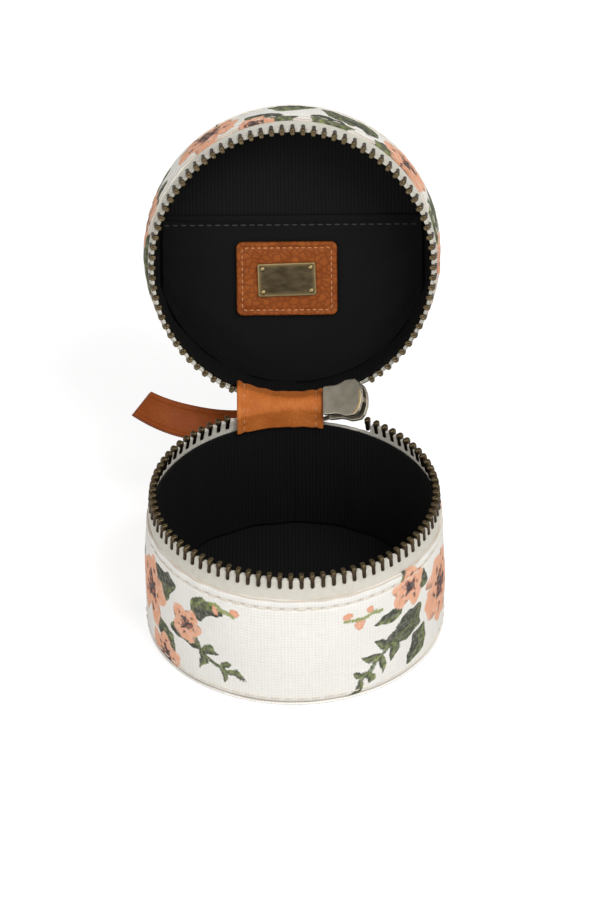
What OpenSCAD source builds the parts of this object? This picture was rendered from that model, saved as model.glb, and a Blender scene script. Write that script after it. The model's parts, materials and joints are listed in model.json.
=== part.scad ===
// Round zippered bobbin box: a sewn canvas case with a lining, a leather hinge,
// a metal zipper and a leather pull.  The lid stands open.
// Origin: centre of the underside.  +Z up, hinge towards +Y, front towards -Y.

/* [Case] */
// Outer diameter of the case across its side wall
case_d = 76; // [66:1:90]
// Height of the plane where the zipper parts, above the table
part_z = 39.4; // [34:0.1:60]
// Depth of the lid from the parting plane to its top
lid_h = 20.6; // [18:0.1:34]
// How far the lid stands open, from closed
lid_open = 109.5; // [95:0.5:112]

/* [Layers] */
// Thickness of the outer canvas
canvas_t = 0.7; // [0.5:0.1:1]
// Thickness of the stiffener inside the side walls
stiffener_t = 1.1; // [0.6:0.1:1.2]
// Thickness of the boards in the bottom and in the lid's top
board_t = 1.5; // [1:0.1:2.5]
// Thickness of the black lining
lining_t = 0.5; // [0.3:0.05:0.7]
// Clearance between layers that lie against each other
layer_gap = 0.1; // [0.05:0.01:0.15]
// How far the side wall swells beyond its seams
wall_swell = 0.25; // [0:0.05:0.6]

/* [Zipper] */
// Height of each zipper band, from the canvas edge to the parting plane
band_h = 6.6; // [6:0.1:9]
// How far each zipper band leans in at the parting plane
band_lean = 0.9; // [0.4:0.1:1.1]
// Thickness of the woven tape
tape_t = 0.7; // [0.5:0.05:0.8]
// Depth of tape hidden between canvas and lining
tape_tuck = 4; // [2.5:0.1:5]
// Tooth places around the full circle
tooth_places = 84; // [78:1:88]
// Width of a tooth along the chain
tooth_w = 1.1; // [0.9:0.02:1.14]
// Thickness of a tooth across the tape
tooth_t = 2; // [1.7:0.1:2.1]
// Length of a tooth's legs, from the parting plane
leg_h = 3.4; // [3:0.1:3.5]
// How far a tooth's head reaches past the parting plane
head_h = 0.6; // [0.4:0.05:0.7]

/* [Slider] */
// Length of the slider along the chain
slider_l = 11; // [10:0.1:11.4]
// Half height of the slider at its mouth
slider_mouth = 5; // [4.7:0.1:5.2]
// Half height of the slider at its tail
slider_tail = 4.2; // [4.1:0.05:4.5]
// Thickness of the slider's two plates
plate_t = 1.1; // [0.8:0.1:1.2]
// Place of the parked slider, clockwise from the back
slider_az = 22; // [21.5:0.1:23]
// Angle that the slider runs to zip the case
slider_run = 295; // [285:0.5:296]

/* [Pull] */
// Width of the leather pull
pull_w = 9; // [6:0.5:9]
// Thickness of the leather pull
pull_t = 1.9; // [1.4:0.1:2.4]
// Length of the metal link between slider and leather
link_l = 13.2; // [12:0.1:15]
// Thickness of the link's wire
link_wire = 1; // [0.8:0.1:1]

/* [Hinge and patch] */
// How far the hinge line lies inside the case's outer wall
hinge_inset = 1.16; // [0.8:0.02:1.4]
// Left edge of the leather hinge
hinge_left = -14.6; // [-16:0.1:-10]
// Right edge of the leather hinge
hinge_right = 7.2; // [4:0.1:7.2]
// Thickness of the hinge leather
hinge_t = 1; // [0.8:0.1:1.2]
// Depth of the hinge leather down each wall
hinge_flap = 7; // [6:0.1:9]
// Height of the lid's pocket, from the hinge side up to its mouth
pocket_h = 44.6; // [38:0.2:48]
// Width of the leather patch in the lid
patch_w = 26; // [20:0.5:30]
// Height of the leather patch
patch_l = 19.6; // [15:0.1:22]
// Thickness of the leather patch
patch_t = 1.3; // [1:0.1:1.6]
// Width of the brass plate
brass_w = 15; // [10:0.5:17]
// Height of the brass plate
brass_l = 8.8; // [6:0.1:11]
// Thickness of the brass plate
brass_t = 0.8; // [0.5:0.1:1]

/* [Hidden] */
$fn = 96;

canvas_colour = "#ece9e0";
tape_colour = "#d9d2c1";
lining_colour = "#161617";
board_colour = "#b9a27c";
leather_colour = "#a85c2a";
brass_colour = "#6d5f45";
slider_colour = "#7a756b";

// Radii of the layers, from the outside in.
case_r = case_d / 2;
hinge_y = case_r - hinge_inset;
canvas_ri = case_r - canvas_t;
stiffener_r = canvas_ri - layer_gap;
stiffener_ri = stiffener_r - stiffener_t;
lining_r = stiffener_ri - layer_gap;
lining_ri = lining_r - lining_t;

// Zipper band, in heights away from the parting plane.
band_foot_r = canvas_ri - layer_gap - tape_t / 2;
rim_r = band_foot_r - band_lean;
tape_edge = 0.8;
lining_edge = band_h + 1.6;
stiffener_edge = band_h + tape_tuck + 0.4;
tape_edge_r = rim_r + band_lean * tape_edge / band_h;
tooth_grip = 0.07;
pitch = 360 / tooth_places;
lean_angle = atan(band_lean / band_h);

// Heights of the flat layers, away from the table or from the lid's top.
board_low = canvas_t + layer_gap;
lining_low = board_low + board_t + layer_gap;
lining_high = lining_low + lining_t;
wall_low = canvas_t + 0.05;
canvas_fold = 0.4;

// Slider, modelled at the back of the case and then turned to its place.
channel_play = 0.4;
plate_in_ro = rim_r - tooth_t / 2 - channel_play;
plate_in_ri = plate_in_ro - plate_t;
plate_out_ri = rim_r + tooth_t / 2 + channel_play + 0.1;
plate_out_ro = plate_out_ri + plate_t;
flange_w = 0.6;
wedge_half_l = 0.8;
wedge_half_h = 0.5;
wedge_inset = 0.5;
wedge_x = slider_l / 2 - wedge_half_l - wedge_inset;
bridge_rise = 2.2;
bridge_bar = 0.9;
slider_half_az = slider_l / 2 / rim_r * 180 / PI;
wedge_az = wedge_x / rim_r * 180 / PI;

// Chain: first tooth clear of the parked slider's mouth, last one short of the hinge.
first_tooth_gap = 0.6;
last_tooth_gap = 0.9;
wedge_play = 0.12;
teeth_start = slider_az + slider_half_az + first_tooth_gap / rim_r * 180 / PI;
teeth_stop = 360 + asin(hinge_left / rim_r) - last_tooth_gap / rim_r * 180 / PI;
wedge_stop = slider_az + slider_run + wedge_az;
wedge_clear = (wedge_half_l + tooth_w / 2 + wedge_play) / rim_r * 180 / PI;

// Notch in each tape where the parked slider stands.
notch_h = slider_mouth - 0.2;
notch_play = 0.5;
notch_from = hinge_right - 0.2;
notch_to = slider_l / 2 * cos(slider_az)
    + sqrt(pow(plate_out_ro, 2) - pow(slider_l / 2, 2)) * sin(slider_az) + notch_play;

// Moves a closed-up shape to where it stands with the lid open.
module turned(angle) {
    translate([0, hinge_y, part_z])
        rotate([-angle, 0, 0])
            translate([0, -hinge_y, -part_z])
                children();
}

// Height 0 is the parting plane and heights grow into the base.
module base_side() {
    translate([0, 0, part_z])
        mirror([0, 0, 1])
            children();
}

// Height 0 is the parting plane and heights grow into the lid.
module lid_side() {
    turned(lid_open)
        translate([0, 0, part_z])
            children();
}

// Frame of the slider and its pull: halfway between the base and the lid.
module fold_side() {
    turned(lid_open / 2)
        translate([0, 0, part_z])
            children();
}

module tube(r_out, r_in, low, high) {
    translate([0, 0, low])
        difference() {
            cylinder(r = r_out, h = high - low);
            translate([0, 0, -1])
                cylinder(r = r_in, h = high - low + 2);
        }
}

module disc(r, low, high) {
    translate([0, 0, low])
        cylinder(r = r, h = high - low);
}

// Side wall of canvas that swells between its two seams.
module canvas_wall(low, high) {
    mid = (low + high) / 2;
    rotate_extrude()
        polygon([
            [canvas_ri, low], [case_r - canvas_fold, low], [case_r, low + canvas_fold],
            [case_r + wall_swell, mid], [case_r, high - canvas_fold],
            [case_r - canvas_fold, high], [canvas_ri, high]]);
}

// Woven tape: straight tuck inside the seam and a band that leans in to its edge.
module zipper_tape() {
    difference() {
        rotate_extrude()
            polygon([
                [tape_edge_r - tape_t / 2, tape_edge], [tape_edge_r + tape_t / 2, tape_edge],
                [band_foot_r + tape_t / 2, band_h],
                [band_foot_r + tape_t / 2, band_h + tape_tuck],
                [band_foot_r - tape_t / 2, band_h + tape_tuck],
                [band_foot_r - tape_t / 2, band_h]]);
        translate([notch_from, 0, -1])
            cube([notch_to - notch_from, case_d, notch_h + 1]);
    }
}

// One tooth: two legs that clamp the tape and a tapered head.
module tooth() {
    t = tooth_t / 2;
    w = tooth_w / 2;
    slot = tape_t / 2 + tooth_grip;
    slot_low = tape_edge - tooth_grip;
    intersection() {
        rotate([90, 0, 90])
            linear_extrude(height = 2 * tooth_w, center = true)
                polygon([
                    [-0.55 * t, -head_h], [0.55 * t, -head_h], [0.95 * t, 0.1], [t, 0.8],
                    [t, leg_h - 0.4], [0.7 * t, leg_h], [slot, leg_h], [slot, slot_low],
                    [-slot, slot_low], [-slot, leg_h], [-0.7 * t, leg_h], [-t, leg_h - 0.4],
                    [-t, 0.8], [-0.95 * t, 0.1]]);
        rotate([90, 0, 0])
            linear_extrude(height = 2 * tooth_t, center = true)
                polygon([
                    [-0.72 * w, -head_h], [0.72 * w, -head_h], [w, 0], [w, 0.9],
                    [0.9 * w, 1.3], [0.9 * w, leg_h], [-0.9 * w, leg_h], [-0.9 * w, 1.3],
                    [-w, 0.9], [-w, 0]]);
    }
}

// Row of teeth, clockwise from the back, with a shift of a half pitch for the lid's row.
module tooth_row(shift) {
    for (az = [teeth_start + shift : pitch : teeth_stop])
        if (abs(az - wedge_stop) > wedge_clear)
            rotate([0, 0, -az])
                translate([0, rim_r, 0])
                    rotate([-lean_angle, 0, 0])
                        tooth();
}

// Outline of the slider in its own plane: mouth at +X, tail at -X.
function slider_outline(mouth, tail, half_l) = [
    [-half_l, -tail + 0.5], [-half_l + 0.5, -tail], [-1.6, -tail - 0.1], [0.4, -mouth],
    [half_l - 2, -mouth], [half_l - 0.7, -mouth + 1.4], [half_l - 0.1, -1.4],
    [half_l, 0], [half_l - 0.1, 1.4], [half_l - 0.7, mouth - 1.4], [half_l - 2, mouth],
    [0.4, mouth], [-1.6, tail + 0.1], [-half_l + 0.5, tail], [-half_l, tail - 0.5]];

module through_wall(points) {
    translate([0, case_d, 0])
        rotate([90, 0, 0])
            linear_extrude(height = case_d)
                polygon(points);
}

// Curved slab of the slider between two radii, cut to an outline.
module slider_slab(r_in, r_out, points) {
    intersection() {
        tube(r_out, r_in, -slider_mouth - 1, slider_mouth + 1);
        through_wall(points);
    }
}

module base_wall_canvas() {
    color(canvas_colour)
        canvas_wall(wall_low, part_z - band_h);
}

module base_bottom_canvas() {
    color(canvas_colour)
        disc(case_r, 0, canvas_t);
}

module base_wall_stiffener() {
    color(board_colour)
        tube(stiffener_r, stiffener_ri, lining_low, part_z - stiffener_edge);
}

module base_bottom_board() {
    color(board_colour)
        disc(stiffener_r, board_low, board_low + board_t);
}

module base_wall_lining() {
    color(lining_colour)
        tube(lining_r, lining_ri, lining_high + layer_gap, part_z - lining_edge);
}

module base_floor_lining() {
    color(lining_colour)
        disc(lining_r, lining_low, lining_high);
}

module base_zipper_tape() {
    color(tape_colour)
        base_side()
            zipper_tape();
}

module base_zipper_teeth() {
    color(brass_colour)
        base_side()
            tooth_row(0);
}

module lid_wall_canvas() {
    color(canvas_colour)
        lid_side()
            canvas_wall(band_h, lid_h - wall_low);
}

module lid_top_canvas() {
    color(canvas_colour)
        lid_side()
            disc(case_r, lid_h - canvas_t, lid_h);
}

module lid_wall_stiffener() {
    color(board_colour)
        lid_side()
            tube(stiffener_r, stiffener_ri, stiffener_edge, lid_h - lining_low);
}

module lid_top_board() {
    color(board_colour)
        lid_side()
            disc(stiffener_r, lid_h - board_low - board_t, lid_h - board_low);
}

module lid_wall_lining() {
    color(lining_colour)
        lid_side()
            tube(lining_r, lining_ri, lining_edge, lid_h - lining_high - layer_gap);
}

module lid_top_lining() {
    color(lining_colour)
        lid_side()
            disc(lining_r, lid_h - lining_high, lid_h - lining_low);
}

// Pocket panel in the lid: a disc cut straight across where its mouth is.
pocket_t = 0.8;
pocket_r = lining_ri - 0.3;
pocket_top = lid_h - lining_high - layer_gap;
pocket_low = pocket_top - pocket_t;
mouth_y = pocket_r - pocket_h;
hem_w = 2.6;
hem_t = 0.5;
// Middle of the patch, which hangs below the hem and a little to the left.
patch_x = -1.5;
patch_gap = 4.2;
patch_y = mouth_y + hem_w + patch_gap + patch_l / 2;
patch_top = pocket_low - layer_gap;
patch_low = patch_top - patch_t;
patch_round = 2.4;
brass_top = patch_low - 0.05;
brass_low = brass_top - brass_t;
pin_r = 0.45;
pin_head_r = 0.75;
pin_inset = 1.3;
pin_play = 0.04;

module lid_pocket() {
    color(lining_colour)
        lid_side()
            intersection() {
                disc(pocket_r, pocket_low, pocket_top);
                translate([-case_r, mouth_y, 0])
                    cube([case_d, case_d, lid_h]);
            }
}

module pocket_hem() {
    color(lining_colour)
        lid_side()
            intersection() {
                disc(pocket_r, pocket_low - hem_t - 0.02, pocket_low - 0.02);
                translate([-case_r, mouth_y, 0])
                    cube([case_d, hem_w, lid_h]);
            }
}

// Flat plate with round corners and four pin holes.
module pinned_plate(w, l, low, high, corner, hole_r) {
    difference() {
        union() {
            translate([-w / 2 + corner, -l / 2, low])
                cube([w - 2 * corner, l, high - low]);
            translate([-w / 2, -l / 2 + corner, low])
                cube([w, l - 2 * corner, high - low]);
            for (sx = [-1, 1], sy = [-1, 1])
                translate([sx * (w / 2 - corner), sy * (l / 2 - corner), low])
                    cylinder(r = corner, h = high - low, $fn = 32);
        }
        pin_places()
            translate([0, 0, low - 1])
                cylinder(r = hole_r, h = high - low + 2, $fn = 24);
    }
}

module pin_places() {
    for (sx = [-1, 1], sy = [-1, 1])
        translate([sx * (brass_w / 2 - pin_inset), sy * (brass_l / 2 - pin_inset), 0])
            children();
}

module leather_patch() {
    color(leather_colour)
        lid_side()
            translate([patch_x, patch_y, 0])
                pinned_plate(patch_w, patch_l, patch_low, patch_top, patch_round, pin_r + pin_play);
}

module brass_plate() {
    color(brass_colour)
        lid_side()
            translate([patch_x, patch_y, 0])
                pinned_plate(brass_w, brass_l, brass_low, brass_top, 0.5, pin_r + pin_play);
}

// Pins with low heads, through the plate and into the patch.
module plate_pins() {
    color(brass_colour)
        lid_side()
            translate([patch_x, patch_y, 0])
                pin_places() {
                    translate([0, 0, brass_low - 0.4])
                        cylinder(r1 = pin_head_r - 0.25, r2 = pin_head_r, h = 0.38, $fn = 24);
                    translate([0, 0, brass_low - 0.1])
                        cylinder(r = pin_r, h = brass_t + patch_t, $fn = 24);
                }
}

module lid_zipper_tape() {
    color(tape_colour)
        lid_side()
            zipper_tape();
}

module lid_zipper_teeth() {
    color(brass_colour)
        lid_side()
            tooth_row(pitch / 2);
}

// Leather hinge: a flap down each wall, joined by a bend about the hinge line.
// The bend is a little thinner than the flaps and runs into them at both ends.
hinge_r = lining_ri - 0.15;
bend_step = 0.06;
bend_over = 3;

module hinge_slice(height) {
    intersection() {
        tube(hinge_r, hinge_r - hinge_t, 0, height);
        translate([hinge_left, 0, -1])
            cube([hinge_right - hinge_left, case_d, height + 2]);
    }
}

module hinge_leather() {
    color(leather_colour)
        union() {
            base_side()
                hinge_slice(hinge_flap);
            lid_side()
                hinge_slice(hinge_flap);
            translate([0, hinge_y, part_z])
                rotate([bend_over, 0, 0])
                    rotate([0, 90, 0])
                        rotate([0, 0, -90])
                            mirror([0, 1, 0])
                                rotate_extrude(angle = lid_open + 2 * bend_over)
                                    hinge_section();
        }
}

// Cut through the hinge at the parting plane: distance from the hinge line, place along it.
module hinge_section() {
    intersection() {
        translate([hinge_y, 0])
            difference() {
                circle(r = hinge_r - bend_step);
                circle(r = hinge_r - hinge_t + bend_step);
            }
        translate([0.2, hinge_left + bend_step])
            square([case_r / 2, hinge_right - hinge_left - 2 * bend_step]);
    }
}

module parked() {
    fold_side()
        rotate([0, 0, -slider_az])
            children();
}

// Two plates, rims that turn in towards the tape, and the wedge between the plates.
module slider_body() {
    half_l = slider_l / 2;
    outer = slider_outline(slider_mouth, slider_tail, half_l);
    inner = slider_outline(slider_mouth - flange_w, slider_tail - flange_w, half_l + 2);
    color(slider_colour)
        parked()
            union() {
                slider_slab(plate_in_ri, plate_in_ro, outer);
                slider_slab(plate_out_ri, plate_out_ro, outer);
                difference() {
                    slider_slab(plate_in_ro - 0.1, rim_r - tape_t / 2 - 0.1, outer);
                    through_wall(inner);
                }
                slider_slab(plate_in_ro - 0.1, plate_out_ri + 0.1, [
                    [wedge_x - wedge_half_l, 0], [wedge_x, -wedge_half_h],
                    [wedge_x + wedge_half_l, -wedge_half_h],
                    [wedge_x + wedge_half_l, wedge_half_h], [wedge_x, wedge_half_h]]);
            }
}

// Low arch on the outer plate that holds the link.
bridge_half = 3.2;
bridge_w = 2.2;
bridge_seat = 0.02;
bridge_foot = 0.4;

module slider_bridge() {
    color(slider_colour)
        parked()
            difference() {
                translate([-bridge_half, plate_out_ro - bridge_foot, -bridge_w / 2])
                    cube([2 * bridge_half, bridge_rise + bridge_foot, bridge_w]);
                translate([-bridge_half + bridge_bar, 0, -bridge_w])
                    cube([2 * (bridge_half - bridge_bar), plate_out_ro + bridge_rise - bridge_bar,
                        2 * bridge_w]);
                translate([0, 0, -bridge_w])
                    cylinder(r = plate_out_ro + bridge_seat, h = 2 * bridge_w);
            }
}

// Link: a bar through the arch's window, two arms and a bar that the leather is folded round.
window_r = plate_out_ro + (bridge_rise - bridge_bar) / 2;
link_x = window_r * sin(slider_az);
link_y = window_r * cos(slider_az);
link_az = 148;
link_near = bridge_w / 2 + 0.25 + link_wire;
link_far = 3;
link_flat = link_wire * 0.8;
bar_play = 0.4;
bar_reach = link_l - link_wire;
loop_x = link_x + bar_reach * cos(link_az);
loop_y = link_y + bar_reach * sin(link_az);

// Flat frame that widens from the slider to the leather, in its own plane:
// X along the link, Y across it.
module link_frame(inset) {
    translate([-link_wire / 2, 0])
        polygon([
            [inset, -link_near + inset], [link_l - inset, -link_far + inset],
            [link_l - inset, link_far - inset], [inset, link_near - inset]]);
}

module pull_link() {
    color(slider_colour)
        fold_side()
            translate([link_x, link_y, 0])
                rotate([0, 0, link_az])
                    union() {
                        rotate([90, 0, 0])
                            linear_extrude(height = link_flat, center = true)
                                difference() {
                                    link_frame(0);
                                    link_frame(link_wire);
                                }
                        translate([0, 0, -link_near + 0.1])
                            cylinder(d = link_wire, h = 2 * link_near - 0.2, $fn = 48);
                        translate([bar_reach, 0, -link_far + 0.1])
                            cylinder(d = link_wire, h = 2 * link_far - 0.2, $fn = 48);
                    }
}

// Leather pull: a strap whose middle line is a curve with four chosen places
// [x, y, height], from the fold round the link's bar to its slanted free end.
// It stands off the wall in the middle and closes in on it at the end.
pull_stand_off = 13.8;
pull_end_off = 4.3;
pull_start = [loop_x - 1.4, loop_y + 0.9, 0];
pull_places = [
    pull_start,
    [-7, case_r + pull_stand_off, -1.5],
    [11 - case_r, case_r + pull_stand_off, -3],
    [-3.5 - case_r, case_r + pull_end_off, 4.3]];
pull_rings = 18;
// Half width of the strap where it passes between the link's arms.
neck_half = link_far - link_wire - 0.15;
neck_share = 0.16;
end_slant = 4.6;

function bezier(p, t) = pow(1 - t, 3) * p[0] + 3 * pow(1 - t, 2) * t * p[1]
    + 3 * (1 - t) * t * t * p[2] + pow(t, 3) * p[3];
function strap_side(t) =
    let (ahead = bezier(pull_places, t + 0.01) - bezier(pull_places, t - 0.01))
    [-ahead[1], ahead[0], 0] / norm([ahead[0], ahead[1]]);
function strap_half(t) = neck_half + (pull_w / 2 - neck_half) * min(1, t / neck_share);
function strap_ring(t, slant) =
    let (mid = bezier(pull_places, t), across = strap_side(t) * pull_t / 2, half = strap_half(t))
    [for (corner = [[-1, -1], [1, -1], [1, 1], [-1, 1]])
        mid + across * corner[0] + [corner[1] > 0 ? slant : 0, 0, half * corner[1]]];

module leather_pull() {
    rings = [for (i = [0 : pull_rings])
        strap_ring(i / pull_rings, i == pull_rings ? end_slant : 0)];
    points = [for (ring = rings) for (corner = ring) corner];
    sides = [for (i = [0 : pull_rings - 1]) for (j = [0 : 3])
        [4 * i + j, 4 * (i + 1) + j, 4 * (i + 1) + (j + 1) % 4, 4 * i + (j + 1) % 4]];
    last = 4 * pull_rings;
    color(leather_colour)
        fold_side()
            difference() {
                union() {
                    polyhedron(points, concat([[0, 1, 2, 3]], sides,
                        [[last + 3, last + 2, last + 1, last]]));
                    translate([loop_x, loop_y, -neck_half])
                        cylinder(d = link_wire + 2.4, h = 2 * neck_half);
                }
                translate([loop_x, loop_y, -neck_half - 1])
                    cylinder(d = link_wire + bar_play, h = 2 * neck_half + 2);
            }
}

base_wall_canvas();
base_bottom_canvas();
base_wall_stiffener();
base_bottom_board();
base_wall_lining();
base_floor_lining();
base_zipper_tape();
base_zipper_teeth();
lid_wall_canvas();
lid_top_canvas();
lid_wall_stiffener();
lid_top_board();
lid_wall_lining();
lid_top_lining();
lid_pocket();
pocket_hem();
leather_patch();
brass_plate();
plate_pins();
lid_zipper_tape();
lid_zipper_teeth();
hinge_leather();
slider_body();
slider_bridge();
pull_link();
leather_pull();
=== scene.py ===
import json
import math

import bpy
import numpy as np
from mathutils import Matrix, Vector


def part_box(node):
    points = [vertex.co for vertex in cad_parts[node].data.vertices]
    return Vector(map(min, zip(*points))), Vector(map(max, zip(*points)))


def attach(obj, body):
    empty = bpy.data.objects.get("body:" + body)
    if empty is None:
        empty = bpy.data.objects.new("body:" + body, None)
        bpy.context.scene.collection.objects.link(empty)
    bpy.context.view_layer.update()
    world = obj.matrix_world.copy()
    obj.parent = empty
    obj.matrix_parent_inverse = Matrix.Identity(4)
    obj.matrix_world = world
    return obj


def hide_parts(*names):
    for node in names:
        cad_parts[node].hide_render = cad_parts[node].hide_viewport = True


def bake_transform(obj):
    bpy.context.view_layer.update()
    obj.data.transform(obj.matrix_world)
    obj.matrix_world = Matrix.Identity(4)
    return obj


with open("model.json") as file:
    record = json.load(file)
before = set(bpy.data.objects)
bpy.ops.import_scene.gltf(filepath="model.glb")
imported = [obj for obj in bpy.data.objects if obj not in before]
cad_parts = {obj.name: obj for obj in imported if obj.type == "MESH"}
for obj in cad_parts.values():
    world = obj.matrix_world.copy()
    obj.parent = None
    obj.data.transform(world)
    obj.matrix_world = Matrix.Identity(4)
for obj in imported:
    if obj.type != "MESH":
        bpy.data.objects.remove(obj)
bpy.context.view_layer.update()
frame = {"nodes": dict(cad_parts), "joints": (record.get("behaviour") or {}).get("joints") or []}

# ---------------------------------------------------------------------------------------------
# Side wall of the base.  Printed cotton canvas over a stiffener: one strip, closed at the back,
# its top edge turned in and topstitched to the zipper tape, its foot sewn to the bottom panel.
# ---------------------------------------------------------------------------------------------

mm = 0.001
JOINTS = {joint["name"]: joint for joint in frame["joints"]}
HINGE_Y, PART_Z = JOINTS["lid_hinge"]["pos_m"][1:]
LID_OPEN = math.radians(JOINTS["lid_hinge"]["range_deg"][1])


def grid(*coordinates):
    """Points from two or three coordinates, whose shapes may differ."""
    return np.stack(np.broadcast_arrays(*coordinates), -1)


def turned(points, angle):
    """Points turned about the hinge line, by angle from closed towards open."""
    y, z = points[..., 1] - HINGE_Y, points[..., 2] - PART_Z
    cosine, sine = math.cos(angle), math.sin(angle)
    return grid(points[..., 0], HINGE_Y + cosine * y + sine * z, PART_Z - sine * y + cosine * z)


def closed_points(name, angle):
    """Vertices of a CAD node after it is turned back to the closed case."""
    mesh = frame["nodes"][name].data
    points = np.empty(3 * len(mesh.vertices), np.float32)
    mesh.vertices.foreach_get("co", points)
    return turned(points.reshape(-1, 3).astype(float), -angle)


def closed_box(name, angle=LID_OPEN):
    """Lowest and highest corner of a CAD node in the closed case."""
    points = closed_points(name, angle)
    return points.min(0), points.max(0)


BELLY, CANVAS_T = 0.25 * mm, 0.7 * mm
WALL_LOW, WALL_HIGH = (corner.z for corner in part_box("base_wall_canvas"))
WALL_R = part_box("base_wall_canvas")[1].x - BELLY
INNER_R = WALL_R - CANVAS_T


def around(azimuth, radius, height):
    """Points at an azimuth from the front, positive to the right, on a circle at a height."""
    return grid(radius * np.sin(azimuth), -radius * np.cos(azimuth), height)


def stand(name, data):
    """A new object in the scene."""
    made = bpy.data.objects.new(name, data)
    bpy.context.scene.collection.objects.link(made)
    return made


def surface(name, points, uv=None, closed=(True, False), poles=(False, False)):
    """Mesh of points[row, column], or of many like grids points[copy, row, column].  Columns close up
    by closed[0], rows by closed[1]; a pole is an end row that is one point.  Faces of a closed shape
    are turned outwards by the sign of the volume they enclose.  Returns the object, and the numbers of
    the grid points that became its vertices."""
    copies = points.reshape((-1,) + points.shape[-3:])
    rows, columns = copies.shape[1:3]
    index = np.arange(rows * columns).reshape(rows, columns)
    if poles[0]:
        index[0] = index[0, 0]
    if poles[1]:
        index[-1] = index[-1, 0]
    row, column = np.meshgrid(np.arange(rows if closed[1] else rows - 1),
                              np.arange(columns if closed[0] else columns - 1), indexing="ij")
    steps = [(0, 0), (0, 1), (1, 1), (1, 0)]
    stride = 10000
    corners = np.stack([index[(row + down) % rows, (column + over) % columns]
                        for down, over in steps], -1).reshape(-1, 4)
    spots = np.stack([(row + down) * stride + column + over for down, over in steps], -1).reshape(-1, 4)
    keep = np.ones((len(corners), 4), bool)
    keep[:, 1] = corners[:, 1] != corners[:, 0]
    keep[:, 3] = corners[:, 3] != corners[:, 2]
    a, b, c, d = (copies[0].reshape(-1, 3)[corners[:, k]] for k in range(4))
    volume = np.einsum("ij,ij->", a, np.cross(b, c)) + np.einsum("ij,ij->", a, np.cross(c, d))
    if volume < 0:
        corners, spots, keep = corners[:, ::-1], spots[:, ::-1], keep[:, ::-1]
    used, compact = np.unique(corners[keep], return_inverse=True)
    count = len(copies)
    vertices = copies.reshape(count, -1, 3)[:, used].reshape(-1, 3)
    loops = (compact.reshape(1, -1) + len(used) * np.arange(count)[:, None]).ravel()
    sizes = np.tile(keep.sum(1), count)
    starts = np.concatenate([[0], np.cumsum(sizes)[:-1]])
    mesh = bpy.data.meshes.new(name)
    mesh.vertices.add(len(vertices))
    mesh.vertices.foreach_set("co", vertices.ravel().astype(np.float32))
    mesh.loops.add(len(loops))
    mesh.loops.foreach_set("vertex_index", loops.astype(np.int32))
    mesh.polygons.add(len(sizes))
    mesh.polygons.foreach_set("loop_start", starts.astype(np.int32))
    mesh.polygons.foreach_set("use_smooth", np.ones(len(sizes), bool))
    if uv is not None:
        spot = spots[keep]
        place = uv[spot // stride, spot % stride]
        layer = mesh.uv_layers.new(name="cloth")
        layer.uv.foreach_set("vector", np.tile(place, (count, 1)).ravel().astype(np.float32))
    mesh.update()
    mesh.validate()
    return stand(name, mesh), used


def drift(x, y, size, seed):
    """Smooth random field of about -1 to 1: eight sine waves about size long, in random directions."""
    random = np.random.default_rng(seed)
    total = np.zeros(np.broadcast(x, y).shape)
    for wave in range(8):
        heading, rate, phase = random.uniform(0, 2 * np.pi, 3)
        rate = 2 * np.pi / size * (0.6 + 0.15 * rate)
        total += np.sin(rate * (x * math.cos(heading) + y * math.sin(heading)) + phase)
    return total / 2.6


def soft_line(distance, width):
    """1 along a line and less on both sides of it: exp(-(distance / width)^2)."""
    return np.exp(-(distance / width) ** 2)


def soft_edge(distance, width):
    """1 at an edge and less away from it: exp(-distance / width)."""
    return np.exp(-distance / width)


def linear(red, green, blue):
    """A colour as it shows on a screen, turned into light."""
    shown = np.array([red, green, blue])
    return tuple(np.where(shown > 0.04045, ((shown + 0.055) / 1.055) ** 2.4, shown / 12.92)) + (1.0,)


PEACH, SALMON, PLUM = linear(0.95, 0.68, 0.53), linear(0.84, 0.50, 0.37), linear(0.22, 0.13, 0.14)
DEEP_GREEN, LEAF_GREEN, OLIVE = linear(0.17, 0.21, 0.14), linear(0.31, 0.37, 0.21), linear(0.55, 0.60, 0.30)
PETAL_LIGHT = linear(0.98, 0.86, 0.78)


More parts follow.
